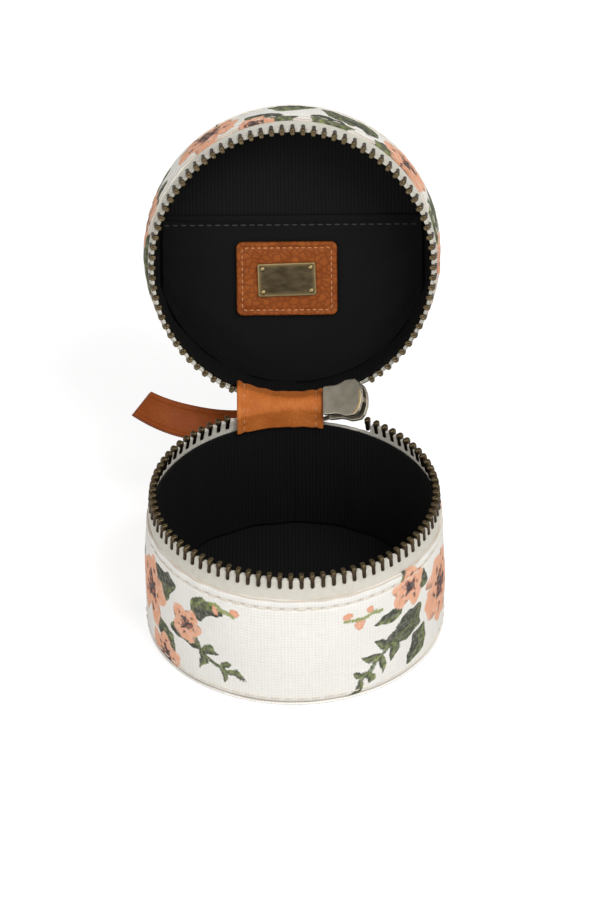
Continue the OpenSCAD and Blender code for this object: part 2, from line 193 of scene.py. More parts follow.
class Print:
    """The floral print on a strip of canvas: ink holds the colour at each point, and edge how deep the
    point lies inside a printed shape, in millimetres, negative outside."""

    def __init__(self, across, up):
        self.x = across + 0.4 * drift(across, up, 6.0, 11)
        self.y = up + 0.4 * drift(across, up, 6.0, 12)
        self.brush = drift(across, up, 2.4, 13)
        self.ink = np.ones(across.shape + (4,)) * 0.8
        self.edge = np.full(across.shape, -9.0)

    def lay(self, depth, ink):
        """Prints a shape over what is there: inside it, and outside where it is the nearest shape."""
        take = (depth > 0) | (depth > self.edge)
        self.ink[take] = np.broadcast_to(ink, self.ink.shape)[take]
        self.edge = np.maximum(self.edge, depth)

    def tint(self, share, colour, ink):
        """Mixes a share of a colour into an ink, which may be one colour all over."""
        share = np.clip(share, 0, 1)[..., None]
        return np.array(ink) * (1 - share) + np.array(colour) * share

    def leaf(self, x, y, heading, length, width, light):
        """A pointed almond: half width sin(pi s) to the 0.8, s from stalk to tip, on a curved midrib.
        One side is lit, with strokes of olive that run along the veins."""
        along = (self.x - x) * math.cos(heading) + (self.y - y) * math.sin(heading)
        side = (self.y - y) * math.cos(heading) - (self.x - x) * math.sin(heading)
        side = side - 0.12 * length * np.sin(np.pi * along / length)
        share = np.clip(along / length, 0, 1)
        half = width / 2 * np.sin(np.pi * share ** 0.8) ** 0.8 + 0.12 * np.sin(along * 2.3) * (share > 0.1)
        depth = np.where((along > 0) & (along < length), half - abs(side),
                         -np.hypot(np.maximum(-along, along - length), side))
        veins = 0.5 + 0.5 * np.sin((along - 1.1 * abs(side)) * 2.2)
        lit = np.clip(2.0 * side / (half + 0.3) + 0.2, 0, 1) * light
        ink = self.tint(lit * (0.8 + 0.3 * self.brush), LEAF_GREEN, DEEP_GREEN)
        ink = self.tint(lit * (1.1 * veins + 0.5 * self.brush - 0.45), OLIVE, ink)
        ink = self.tint(0.5 * soft_line(side, 0.25) * (share < 0.85), OLIVE, ink)
        self.lay(depth, ink)

    def stalk(self, x, y, heading, length, bend, colour=LEAF_GREEN, width=0.7):
        """A stalk along an arc, as the nearest of its round dabs.  Returns their places and headings."""
        dabs = 12
        turn = heading + bend * np.linspace(0, 1, dabs)
        xs = x + np.cumsum(np.cos(turn)) * length / dabs
        ys = y + np.cumsum(np.sin(turn)) * length / dabs
        depth = np.full(self.x.shape, -9.0)
        for spot_x, spot_y in zip(xs, ys):
            depth = np.maximum(depth, width / 2 + 0.25 - np.hypot(self.x - spot_x, self.y - spot_y) * 0.8)
        self.lay(depth, colour)
        return list(zip(xs, ys, turn))

    def spray(self, x, y, heading, length, bend, leaves, size, light):
        """A stalk with pairs of leaves that get smaller towards its tip, and one at its end."""
        line = self.stalk(x, y, heading, length, bend)
        for place in np.linspace(1, 9, leaves).astype(int):
            spot_x, spot_y, turn = line[place]
            small = size * (1.1 - 0.04 * place)
            for side in (0.9, -0.9):
                self.leaf(spot_x, spot_y, turn + side, small, 0.46 * small, light)
        self.leaf(*line[-1], size, 0.46 * size, light)

    def buds(self, x, y, heading, length, bend, count):
        """A thin stalk with a round bud on a side of each of some places along it."""
        line = self.stalk(x, y, heading, length, bend, OLIVE, 0.45)
        for number, place in enumerate(np.linspace(3, 11, count).astype(int)):
            spot_x, spot_y, turn = line[place]
            side = 1.5 if number % 2 else -1.5
            across, up = spot_x - side * math.sin(turn), spot_y + side * math.cos(turn)
            reach = np.hypot(self.x - across, self.y - up)
            self.lay(1.15 - reach, self.tint(reach - 0.5, SALMON, PEACH))

    def blossom(self, x, y, size, petals, turn):
        """Three rings of petals round a dark heart.  Each ring's radius is 0.74 + 0.26 |cos(petals a / 2)|
        to the 0.6; petals are shaded at the foot, with a dark stroke on one side of each."""
        reach = np.hypot(self.x - x, self.y - y)
        angle = np.arctan2(self.y - y, self.x - x)
        wobble = 0.07 * drift(self.x, self.y, 8.0, 31)
        for ring, share in enumerate((1.0, 0.74, 0.50)):
            phase = petals * (angle - turn - ring * 0.9 * np.pi / petals) / 2
            lobe = abs(np.cos(phase)) ** 0.6
            edge = size * share * (0.74 + 0.26 * lobe + wobble)
            rise = np.clip(reach / edge, 0, 1)
            depth = (edge - reach) * 0.9
            ink = self.tint(1.2 * (0.80 - rise) + 0.25 * self.brush, SALMON, PEACH)
            ink = self.tint(1.2 * (rise - 0.78) + 0.2 * self.brush, PETAL_LIGHT, ink)
            fold = np.sin(phase) * np.sign(np.cos(phase))
            ink = self.tint(3.0 * (fold - 0.72) * (ring + 0.6), PLUM, ink)
            self.lay(depth, ink)
        heart = (0.33 + 0.08 * np.cos(3 * angle + turn) + 0.05 * self.brush) * size - reach
        self.lay(heart, self.tint(0.5 * (self.brush > 0.55), SALMON, PLUM))

    def paint(self, leaves, sprays, buds, blossoms):
        """Prints lists of shapes, the blossoms on top."""
        layers = ((self.leaf, leaves), (self.spray, sprays), (self.buds, buds), (self.blossom, blossoms))
        for draw, shapes in layers:
            for shape in shapes:
                draw(*shape)


def mark(made, name, values):
    """Stores a number or a colour for each vertex, under a name that a material reads."""
    kind, field = ("FLOAT", "value") if values.ndim == 1 else ("FLOAT_COLOR", "color")
    layer = made.data.attributes.new(name, kind, "POINT")
    layer.data.foreach_set(field, values.ravel().astype(np.float32))


def put_print(made, used, cloth, seam=None):
    """Stores a print on a mesh's vertices, and the painted shade along its seams."""
    if seam is not None:
        mark(made, "seam", np.broadcast_to(seam, cloth.x.shape).ravel()[used])
    mark(made, "print_ink", cloth.ink.reshape(-1, 4)[used])
    mark(made, "print_edge", cloth.edge.ravel()[used])


STITCH_PITCH, HEM_H = 3.4 * mm, 2.6 * mm


def seam_shade(azimuth, rise, height):
    """Shade along a wall's seams: a line under the hem with a dark spot at each stitch hole, the edge
    against the tape, and the foot."""
    holes = 0.5 + 0.5 * np.cos(azimuth * round(2 * np.pi * WALL_R / STITCH_PITCH))
    line = soft_line(height - HEM_H - rise, 0.30 * mm) * (0.18 + 0.75 * holes ** 3)
    edge = soft_line(height - 0.2 * mm - rise, 0.28 * mm) * 0.75
    foot = soft_edge(rise - 0.1 * mm, 0.5 * mm) * 0.8
    return line + edge + foot


COLUMNS = 680
FOLD_H = 0.3 * mm


def canvas_strip(height, sway):
    """Closed section of a canvas wall, as rows of (radius, height above its foot) and the length along
    it: outside from foot to stitch dimple and hem, over the fold, and down the inside."""
    outside = np.linspace(0, 1, int(height / (0.36 * mm)))
    rise = outside * height
    belly = BELLY * np.sin(np.pi * outside) - sway * outside ** 2
    foot = -0.55 * mm * soft_edge(rise, 0.35 * mm)
    stitch = -0.16 * mm * soft_line(height - rise - HEM_H, 0.45 * mm)
    hem = 0.10 * mm * soft_line(height - rise - 1.2 * mm, 0.9 * mm)
    radius = WALL_R + belly + foot + stitch + hem
    fold = np.linspace(0, np.pi, 9)[1:]
    half = (radius[-1] - INNER_R + sway) / 2
    fold_r = radius[-1] - half + half * np.cos(fold)
    fold_h = height + 0.8 * half * np.sin(fold)
    inside_h = np.linspace(height, 0, 7)[1:]
    inside_r = np.full(6, INNER_R - sway) + sway * (1 - inside_h / height)
    profile = grid(np.concatenate([radius, fold_r, inside_r]), np.concatenate([rise, fold_h, inside_h]))
    steps = np.linalg.norm(np.diff(profile, axis=0, append=profile[:1]), axis=-1)
    return profile, np.concatenate([[0], np.cumsum(steps)])


def canvas_wall(height, sway, seed):
    """A canvas strip carried round the case, with puckers that fade away from both seams.  Returns its
    points as azimuth, radius and height, its cloth coordinates in millimetres, and its rows' heights."""
    profile, length = canvas_strip(height, sway)
    azimuth = np.linspace(-np.pi, np.pi, COLUMNS, endpoint=False)[None, :]
    radius, rise = profile[:, :1], profile[:, 1:]
    near_seam = soft_edge(height - rise, 5 * mm) + 0.7 * soft_edge(rise, 4 * mm)
    across = azimuth * WALL_R / mm
    pucker = 0.10 * drift(across, rise / mm * 0.3, 6.0, seed) * near_seam
    slack = 0.12 * drift(across, rise / mm, 26.0, seed + 1)
    radius = radius + (pucker + slack) * mm * np.clip(rise / (1.5 * mm), 0, 1)
    rise = rise + 0.10 * mm * drift(across, 0 * rise, 17.0, seed + 2) * (rise / height)
    wide = np.linspace(-np.pi, np.pi, COLUMNS + 1)[None, :] * WALL_R / mm
    return azimuth, radius, rise, grid(wide, length[:, None] / mm)


azimuth, radius, rise, cloth_uv = canvas_wall(WALL_HIGH - WALL_LOW - FOLD_H, 0.45 * mm, 3)
base_wall, used = surface("canvas_base_wall", around(azimuth, radius, WALL_LOW + rise), cloth_uv,
                          (True, True))
flowers = Print(*np.broadcast_arrays(azimuth * WALL_R / mm, rise / mm))
# Each list holds places round the wall from the front and up it in millimetres, headings in radians,
# and sizes in millimetres.
flowers.paint(
    leaves=((-35, 26, 3.3, 17, 8.5, 0.5), (-30, 21, 0.35, 12, 6.0, 0.9), (-44, 12, -0.9, 13, 7.0, 0.6),
            (-37, 13, -0.2, 12, 5.5, 1.0), (-58, 8, 3.6, 12, 7.0, 0.8), (-62, 27, 2.8, 12, 6.5, 0.7),
            (-57, 22, 3.4, 9, 5.0, 0.9), (37, 19, 3.6, 15, 8.0, 0.4), (41, 24, 2.5, 14, 7.0, 0.9),
            (38, 12, 4.1, 12, 6.5, 0.7), (58, 25, 0.5, 12, 6.5, 0.6), (57, 9, -0.5, 13, 7.0, 0.8),
            (30, 22, 3.3, 9, 4.5, 1.0), (88, 22, 0.5, 14, 7.5, 0.6), (72, 12, 3.4, 13, 6.5, 0.8),
            (84, 8, -0.5, 12, 6.0, 0.9), (-84, 20, 0.3, 14, 7.0, 0.8), (-102, 10, 3.6, 13, 7.0, 0.6),
            (-98, 25, 2.4, 11, 6.0, 0.9), (104, 25, 0.9, 10, 6.0, 0.8), (114, 6, 2.2, 13, 7.0, 0.6)),
    sprays=((29, 14, 3.65, 15, 0.35, 3, 6.0, 1.0), (-27, 12, -0.75, 10, 0.5, 2, 5.5, 0.9),
            (76, 27, 3.0, 12, -0.5, 3, 5.5, 0.9), (-110, 20, 2.9, 12, 0.4, 3, 6.0, 0.8)),
    buds=((24, 25, 3.5, 11, -0.5, 3), (-24, 27, 0.0, 8, -0.6, 2), (98, 8, 0.3, 11, 0.6, 4),
          (-74, 8, 0.6, 10, 0.5, 3)),
    blossoms=((-49, 17, 9.5, 5, 0.3), (-31, 16.5, 5.2, 5, 1.1), (-68, 16, 8.0, 5, 0.6),
              (-40, 2, 6.5, 5, 1.5), (50, 16.5, 10.5, 5, 0.9), (33, 26.5, 6.0, 5, 0.2),
              (66, 28, 6.0, 5, 1.4), (79, 17, 9.5, 5, 0.4), (-93, 16, 10.0, 5, 0.5),
              (-78, 27, 6.0, 5, 0.9), (107, 16, 9.5, 5, 0.1), (118, 27, 5.5, 5, 0.4)))
put_print(base_wall, used, flowers, seam_shade(azimuth, rise, WALL_HIGH - WALL_LOW))


def finish(name, roughness, **settings):
    """A new material, its node tree, and its shader with the settings that are the same all over."""
    material = bpy.data.materials.new(name)
    material.use_nodes = True
    tree = material.node_tree
    shader = tree.nodes["Principled BSDF"]
    shader.inputs["Roughness"].default_value = roughness
    for key, value in settings.items():
        shader.inputs[key.replace("_", " ")].default_value = value
    return material, tree, shader


def node(tree, kind, inputs=(), **options):
    """A node with its options and inputs; an input is a value or another node's output."""
    made = tree.nodes.new("ShaderNode" + kind)
    for option, value in options.items():
        setattr(made, option, value)
    for key, value in dict(inputs).items():
        if isinstance(value, bpy.types.NodeSocket):
            tree.links.new(value, made.inputs[key])
        else:
            made.inputs[key].default_value = value
    return made


def sums(tree, operation, first, second=0.0, third=0.0, clamp=False):
    """One step of arithmetic on numbers or outputs."""
    inputs = {0: first, 1: second, 2: third}
    return node(tree, "Math", inputs, operation=operation, use_clamp=clamp).outputs[0]


def mixed(tree, share, first, second):
    """A mix of two colours, by a share."""
    return node(tree, "Mix", {0: share, 6: first, 7: second}, data_type="RGBA").outputs[2]


def noise(tree, where, scale, detail):
    """Cloudy noise from 0 to 1."""
    return node(tree, "TexNoise", {"Vector": where, "Scale": scale, "Detail": detail}).outputs["Fac"]


def stretched(tree, where, x, y, z=1.0):
    """Coordinates stretched along their axes."""
    return node(tree, "Mapping", {"Vector": where, "Scale": (x, y, z)}).outputs[0]


def bent_by_noise(tree, where, scale, reach):
    """Coordinates pushed aside by noise, by up to a reach along each axis."""
    wander = node(tree, "TexNoise", {"Vector": where, "Scale": scale, "Detail": 2.0}).outputs["Color"]
    inputs = {0: wander, 1: (reach,) * 3, 2: where}
    return node(tree, "VectorMath", inputs, operation="MULTIPLY_ADD").outputs[0]


def woven(tree, where, pitch):
    """Height of a plain weave: threads rounded across, each passing over the next and under it."""
    split = node(tree, "SeparateXYZ", {0: where})
    across = sums(tree, "SINE", sums(tree, "MULTIPLY", split.outputs[0], math.pi / pitch))
    up = sums(tree, "SINE", sums(tree, "MULTIPLY", split.outputs[1], math.pi / pitch))
    over = sums(tree, "GREATER_THAN", sums(tree, "MULTIPLY", across, up), 0.0)
    across, up = (sums(tree, "ABSOLUTE", wave) for wave in (across, up))
    warp = sums(tree, "MULTIPLY", across, sums(tree, "MULTIPLY_ADD", up, 0.45, 0.55))
    weft = sums(tree, "MULTIPLY", up, sums(tree, "MULTIPLY_ADD", across, 0.45, 0.55))
    return node(tree, "Mix", {0: over, 2: weft, 3: warp}).outputs[0]


def own_place(tree):
    """Coordinates in metres along the piece's own axes."""
    return node(tree, "TexCoord").outputs["Object"]


def cloth_place(tree):
    """Coordinates in millimetres along and across the cloth."""
    return node(tree, "UVMap", uv_map="cloth").outputs[0]


def stored(tree, name, output="Fac"):
    """A value that mark stored on the vertices."""
    return node(tree, "Attribute", attribute_name=name).outputs[output]


def ramp(tree, value, gain, start=0.0):
    """A value times a gain plus a start, kept from 0 to 1."""
    return sums(tree, "MULTIPLY_ADD", value, gain, start, clamp=True)


def ridges(tree, value, pitch):
    """Rounded ridges, one to each pitch: |sin(pi value / pitch)|."""
    return sums(tree, "ABSOLUTE", sums(tree, "SINE", sums(tree, "MULTIPLY", value, math.pi / pitch)))


def coat(tree, shader, colour, height=None, distance=0.0, rough=None):
    """Links a shader's colour, a height from 0 to 1 that raises it by up to a distance, and roughness."""
    tree.links.new(colour, shader.inputs["Base Color"])
    if height is not None:
        raised = node(tree, "Bump", {"Height": height, "Distance": distance, "Strength": 1.0})
        tree.links.new(raised.outputs[0], shader.inputs["Normal"])
    if rough is not None:
        tree.links.new(rough, shader.inputs["Roughness"])


THREAD_PITCH = 0.86
canvas, tree, shader = finish("printed_canvas", 0.9, Specular_IOR_Level=0.2)
cloth = cloth_place(tree)
cloth = bent_by_noise(tree, cloth, 0.35, 0.4)
weave = woven(tree, cloth, THREAD_PITCH)
slub = noise(tree, stretched(tree, cloth, 0.25, 2.0), 1.0, 3.0)
slub_up = noise(tree, stretched(tree, cloth, 2.0, 0.25), 1.0, 3.0)
threads = sums(tree, "MULTIPLY_ADD", sums(tree, "ADD", slub, slub_up), 0.6,
               sums(tree, "MULTIPLY", weave, 0.55))
# The cloth is lighter on raised threads and darker between them: partly the yarn's own slubs, partly
# painted shade in the weave's hollows.
plain = mixed(tree, ramp(tree, threads, 1.1, -0.25), linear(0.885, 0.87, 0.84), linear(0.965, 0.955, 0.93))
# Painted shade along the seams, in tan: a line under the hem with a dark spot at each stitch hole, the edge
# against the tape, and the foot.
seam = stored(tree, "seam")
plain = mixed(tree, ramp(tree, seam, 0.75), plain, linear(0.62, 0.50, 0.36))
ink = stored(tree, "print_ink", "Color")
edge = stored(tree, "print_edge")
ragged = noise(tree, cloth, 1.6, 3.0)
edge = sums(tree, "ADD", edge, sums(tree, "MULTIPLY_ADD", ragged, 0.45, -0.22))
edge = sums(tree, "ADD", edge, sums(tree, "MULTIPLY_ADD", weave, 0.25, -0.10))
printed = ramp(tree, edge, 3.5, 0.3)
wash = noise(tree, cloth, 0.9, 4.0)
GAP_SHADE = linear(0.14, 0.11, 0.10)
ink = mixed(tree, ramp(tree, wash, 0.7, -0.30), ink, linear(0.95, 0.90, 0.84))
ink = mixed(tree, ramp(tree, threads, -0.5, 0.45), ink, GAP_SHADE)
# The print is darkened along the seams by the same painted shade.
ink = mixed(tree, sums(tree, "MULTIPLY", seam, 0.4), ink, GAP_SHADE)
coat(tree, shader, mixed(tree, sums(tree, "MULTIPLY", printed, 0.95), plain, ink), threads, 0.07 * mm)


def dress(made, material, body, slot, *nodes):
    """Gives a piece its material, the body that it moves with and the nodes it stands for.  Its slot is not
    used.
    """
    made.data.materials.clear()
    made.data.materials.append(material)
    if body:
        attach(made, body)
    if nodes:
        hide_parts(*nodes)


dress(base_wall, canvas, "base", "canvas", "base_wall_canvas")

# ---------------------------------------------------------------------------------------------
# Side wall of the lid.  The same canvas strip, lower, turned over with the lid: its hem lies
# against the lid's zipper tape and its foot is sewn to the top panel.
# ---------------------------------------------------------------------------------------------

lid_low, lid_high = closed_box("lid_wall_canvas")
azimuth, radius, rise, cloth_uv = canvas_wall(lid_high[2] - lid_low[2] - FOLD_H, 0.35 * mm, 7)
lid_wall, used = surface("canvas_lid_wall", turned(around(azimuth, radius, lid_high[2] - rise), LID_OPEN),
                         cloth_uv, (True, True))
flowers = Print(*np.broadcast_arrays(azimuth * WALL_R / mm, rise / mm))
flowers.paint(
    leaves=((-12, 7, 0.35, 15, 7.5, 0.6), (-6, 3, -0.1, 13, 6.0, 1.0), (4, 10, 0.1, 14, 7.0, 0.9),
            (8, 3, 0.3, 13, 6.0, 0.4), (24, 8, 3.3, 13, 7.0, 0.8), (22, 12, -0.2, 11, 5.5, 1.0),
            (44, 9, 0.1, 14, 7.5, 0.8), (43, 3, 0.1, 13, 6.0, 0.5), (-38, 9, 2.9, 13, 7.0, 0.5),
            (-36, 3, 3.3, 12, 6.0, 0.9), (-62, 10, 0.2, 11, 6.0, 0.8), (-57, 3, 0.1, 12, 6.0, 0.5),
            (68, 9, 2.9, 10, 6.0, 0.8), (80, 5, 0.4, 12, 6.5, 0.6), (-80, 4, 2.9, 12, 6.5, 0.7),
            (-70, 10, 0.2, 10, 6.0, 0.9), (104, 6, 2.9, 11, 6.0, 0.8), (-100, 9, 0.3, 11, 6.5, 0.6)),
    sprays=((98, 9, 0.2, 10, 0.2, 2, 5.5, 0.9),),
    buds=((62, 3, 0.2, 8, 0.4, 3),),
    blossoms=((-23, 6, 9.4, 5, 0.4), (-10, 13, 5.0, 5, 0.1), (34, 8, 8.6, 5, 0.8), (-50, 6, 7.6, 5, 1.0),
              (60, 9, 6.6, 5, 0.2), (74, 6, 7.0, 5, 0.5), (-88, 7, 8.2, 5, 0.3), (92, 7, 8.0, 5, 0.6),
              (-112, 6, 7.6, 5, 0.5), (114, 7, 7.0, 5, 0.2)))
put_print(lid_wall, used, flowers, seam_shade(azimuth, rise, lid_high[2] - lid_low[2]))
dress(lid_wall, canvas, "lid", "canvas", "lid_wall_canvas")

# ---------------------------------------------------------------------------------------------
# Bottom and top panels.  Round canvas panels over board, a little crowned on the lid, whose edge
# is turned in and sewn to the wall.  The top carries the print, the bottom is plain.
# ---------------------------------------------------------------------------------------------


def panel_rows(radius, thick, crown):
    """Section of a round panel from the middle of one face, over its rolled edge, to the other: radius
    and height, crowned by a cosine of the radius."""
    flat = np.linspace(0, radius - thick / 2, int(radius / (0.5 * mm)))
    roll = np.linspace(-np.pi / 2, np.pi / 2, 7)[1:-1]
    rows_r = np.concatenate([flat, radius - thick / 2 + thick / 2 * np.cos(roll), flat[::-1]])
    crowned = crown * np.cos(np.pi / 2 * np.clip(flat / radius, 0, 1))
    rows_h = np.concatenate([0 * flat, thick / 2 + thick / 2 * np.sin(roll), thick + crowned[::-1]])
    return rows_r[:, None], rows_h[:, None]


def round_panel(name, node_name, crown, angle, seed):
    """A panel in the place of a CAD disc, made of rings round its middle.  Returns it, the numbers of
    the grid points that it uses, and their places across it in millimetres."""
    low, high = closed_box(node_name, angle)
    thick = high[2] - low[2]
    rows_r, rows_h = panel_rows(high[0], thick, crown)
    turn = np.linspace(-np.pi, np.pi, 421)[None, :]
    flat = around(turn, rows_r, rows_h)
    uv = flat[..., :2] / mm
    flat = flat[:, :-1]
    x, y = flat[..., 0] / mm, flat[..., 1] / mm
    flat[..., 2] += low[2] + 0.06 * mm * drift(x, y, 22.0, seed) * (rows_h > thick * 0.9)
    made, used = surface(name, turned(flat, angle), uv, poles=(True, True))
    return made, used, x, y


bottom, used, x, y = round_panel("canvas_bottom", "base_bottom_canvas", 0.0, 0.0, 5)
put_print(bottom, used, Print(x, y))
dress(bottom, canvas, "base", "canvas", "base_bottom_canvas")

lid_top, used, x, y = round_panel("canvas_lid_top", "lid_top_canvas", 0.7 * mm, LID_OPEN, 6)
flowers = Print(x, y)
flowers.paint(
    leaves=((-14, -4, 3.5, 14, 6.5, 0.6), (-2, -9, 4.3, 13, 6.0, 0.9), (4, 10, 1.2, 14, 6.5, 0.5),
            (14, 2, -0.3, 14, 6.0, 0.8), (-14, 12, 2.3, 13, 6.0, 0.8), (18, -12, -0.9, 11, 5.5, 0.6),
            (-26, 10, 3.3, 9, 5.0, 0.9), (22, 16, 0.3, 11, 5.5, 0.8)),
    sprays=((-10, -18, 3.9, 13, 0.4, 3, 5.0, 0.9), (8, 24, 2.2, 10, 0.6, 2, 5.0, 0.8)),
    buds=((26, -3, -0.4, 10, 0.6, 3), (-24, -2, 2.6, 10, -0.5, 3)),
    blossoms=((-6, 2, 11.0, 5, 0.3), (12, 13, 8.4, 5, 0.9), (9, -14, 7.6, 5, 0.2), (-22, 20, 6.6, 5, 0.8),
              (-24, -17, 6.4, 5, 0.4), (30, 6, 5.4, 5, 1.1)))
put_print(lid_top, used, flowers)
dress(lid_top, canvas, "lid", "canvas", "lid_top_canvas")

# ---------------------------------------------------------------------------------------------
# Stiffeners and boards.  Foam strips and grey boards between canvas and lining, all hidden.
# They keep their CAD meshes.
# ---------------------------------------------------------------------------------------------

foam, tree, shader = finish("foam", 0.9)
cells = node(tree, "TexVoronoi", {"Vector": own_place(tree), "Scale": 1500.0}).outputs["Distance"]
colour = mixed(tree, cells, linear(0.62, 0.61, 0.58), linear(0.80, 0.79, 0.76))
coat(tree, shader, colour, cells, 0.1 * mm)
board, tree, shader = finish("grey_board", 0.92)
fibres = noise(tree, stretched(tree, own_place(tree), 1.0, 4.0), 400.0, 5.0)
colour = mixed(tree, fibres, linear(0.58, 0.52, 0.42), linear(0.72, 0.67, 0.57))
coat(tree, shader, colour, fibres, 0.05 * mm)


def repaint(material, *names):
    """Gives a material to CAD nodes that keep their meshes."""
    for name in names:
        frame["nodes"][name].data.materials.clear()
        frame["nodes"][name].data.materials.append(material)


repaint(foam, "base_wall_stiffener", "lid_wall_stiffener")
repaint(board, "base_bottom_board", "lid_top_board")

# ---------------------------------------------------------------------------------------------
# Linings.  Black ribbed cloth: a strip round the inside of each wall that ends in a rolled rim on
# the tape, a floor in the base and a disc in the lid's top.
# ---------------------------------------------------------------------------------------------

lining, tree, shader = finish("black_lining", 0.85, Specular_IOR_Level=0.15)
cloth = cloth_place(tree)
split = node(tree, "SeparateXYZ", {0: cloth})
RIB, CROSS_RIB = 0.95, 0.42
ribbed = sums(tree, "MULTIPLY_ADD", ridges(tree, split.outputs[1], CROSS_RIB), 0.2,
              ridges(tree, split.outputs[0], RIB))
lint = sums(tree, "MULTIPLY_ADD", noise(tree, cloth, 2.2, 4.0), 0.8, 0.2)
lit = sums(tree, "MULTIPLY", ribbed, lint, clamp=True)
colour = mixed(tree, lit, linear(0.040, 0.040, 0.041), linear(0.085, 0.084, 0.083))
coat(tree, shader, colour, ribbed, 0.10 * mm)

# How far the linings reach past their CAD solids, up the tapes.
RIM_OVER = 3.3 * mm


def lining_strip(name, node_name, angle, body, rim_up, seed):
    """A lining ring: a thin closed section carried round, rolled at the rim, with shallow folds that
    run up the wall and fade towards the rim."""
    low, high = closed_box(node_name, angle)
    outer, height = high[0], high[2] - low[2] + RIM_OVER
    inside_h, outside_h = np.linspace(0, height, 40), np.linspace(height, 0, 13)[1:]
    turn = np.linspace(-np.pi, np.pi, 361)[None, :]
    roll = np.linspace(0, np.pi, 7)[1:]
    half = 0.25 * mm
    rows_r = np.concatenate([np.full(40, outer - 2 * half), outer - half - half * np.cos(roll),
                             np.full(12, outer)])[:, None]
    rows_h = np.concatenate([inside_h, height + half * np.sin(roll), outside_h])[:, None]
    across = turn * outer / mm
    fade = np.clip(1.2 - rows_h / height, 0, 1) * (rows_r < outer - half)
    folds = 0.22 * mm * drift(across, 0.25 * rows_h / mm, 13.0, seed) * fade
    rows_z = low[2] + rows_h if rim_up else high[2] - rows_h
    uv = grid(across, rows_h / mm)
    uv = np.concatenate([uv, uv[:1]])
    points = around(turn[:, :-1], (rows_r + folds)[:, :-1] - 0.02 * mm, rows_z)
    made = surface(name, turned(points, angle), uv, (True, True))[0]
    dress(made, lining, body, "lining", node_name)


lining_strip("lining_base_wall", "base_wall_lining", 0.0, "base", True, 41)
lining_strip("lining_lid_wall", "lid_wall_lining", LID_OPEN, "lid", False, 42)
floor_lining = round_panel("lining_base_floor", "base_floor_lining", 0.25 * mm, 0.0, 43)[0]
dress(floor_lining, lining, "base", "lining", "base_floor_lining")
top_lining = round_panel("lining_lid_top", "lid_top_lining", 0.0, LID_OPEN, 44)[0]
dress(top_lining, lining, "lid", "lining", "lid_top_lining")

# ---------------------------------------------------------------------------------------------
# Zipper tapes.  Cream woven tape, one on each side: tucked in behind the canvas hem, leaning in
# towards the parting plane, with a corded edge, and cut away where the parked slider stands.
# ---------------------------------------------------------------------------------------------

TAPE_T = 0.7 * mm
TOOTH_PLACES = 84
TOOTH_W = 1.1 * mm
# The band that shows, the part tucked in behind the hem, and how far the band leans in.
BAND_H, TUCK, LEAN = 6.6 * mm, 3.6 * mm, 0.9 * mm
tape_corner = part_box("base_zipper_tape")[1]
RIM_R = tape_corner.x - TAPE_T / 2 - LEAN
TAPE_EDGE = PART_Z - tape_corner.z
# How deep the edge is cut away under the slider, and how far it dips at each tooth.
NOTCH, SCALLOP = 4.6 * mm, 0.30 * mm
slider_low, slider_high = closed_box("slider_body", LID_OPEN / 2)


def band_radius(depth):
    """Radius of the tape's middle at a depth from the parting plane: a slanted band, then upright."""
    return RIM_R + LEAN * np.clip(depth / BAND_H, 0, 1)


def row_ends(node_name, angle):
    """Azimuths, clockwise from the back, of the middles of a CAD row's first and last tooth."""
    points = closed_points(node_name, angle)
    places = np.arctan2(points[:, 0], points[:, 1]) % (2 * np.pi)
    half = TOOTH_W / 2 / RIM_R
    return places.min() + half, places.max() - half


tape, tree, shader = finish("cream_tape", 0.85, Sheen_Weight=0.1)
cloth = cloth_place(tree)
split = node(tree, "SeparateXYZ", {0: cloth})
slant = sums(tree, "ADD", split.outputs[0], sums(tree, "PINGPONG", split.outputs[1], 0.9))
twill = ridges(tree, slant, 0.42)
# Painted shade in the twill's grooves, with its ridges lighter.
cream = mixed(tree, twill, linear(0.76, 0.74, 0.68), linear(0.90, 0.885, 0.84))
cream = mixed(tree, ramp(tree, noise(tree, cloth, 0.5, 4.0), 0.8, -0.35), cream, linear(0.70, 0.66, 0.58))
coat(tree, shader, cream, twill, 0.06 * mm)


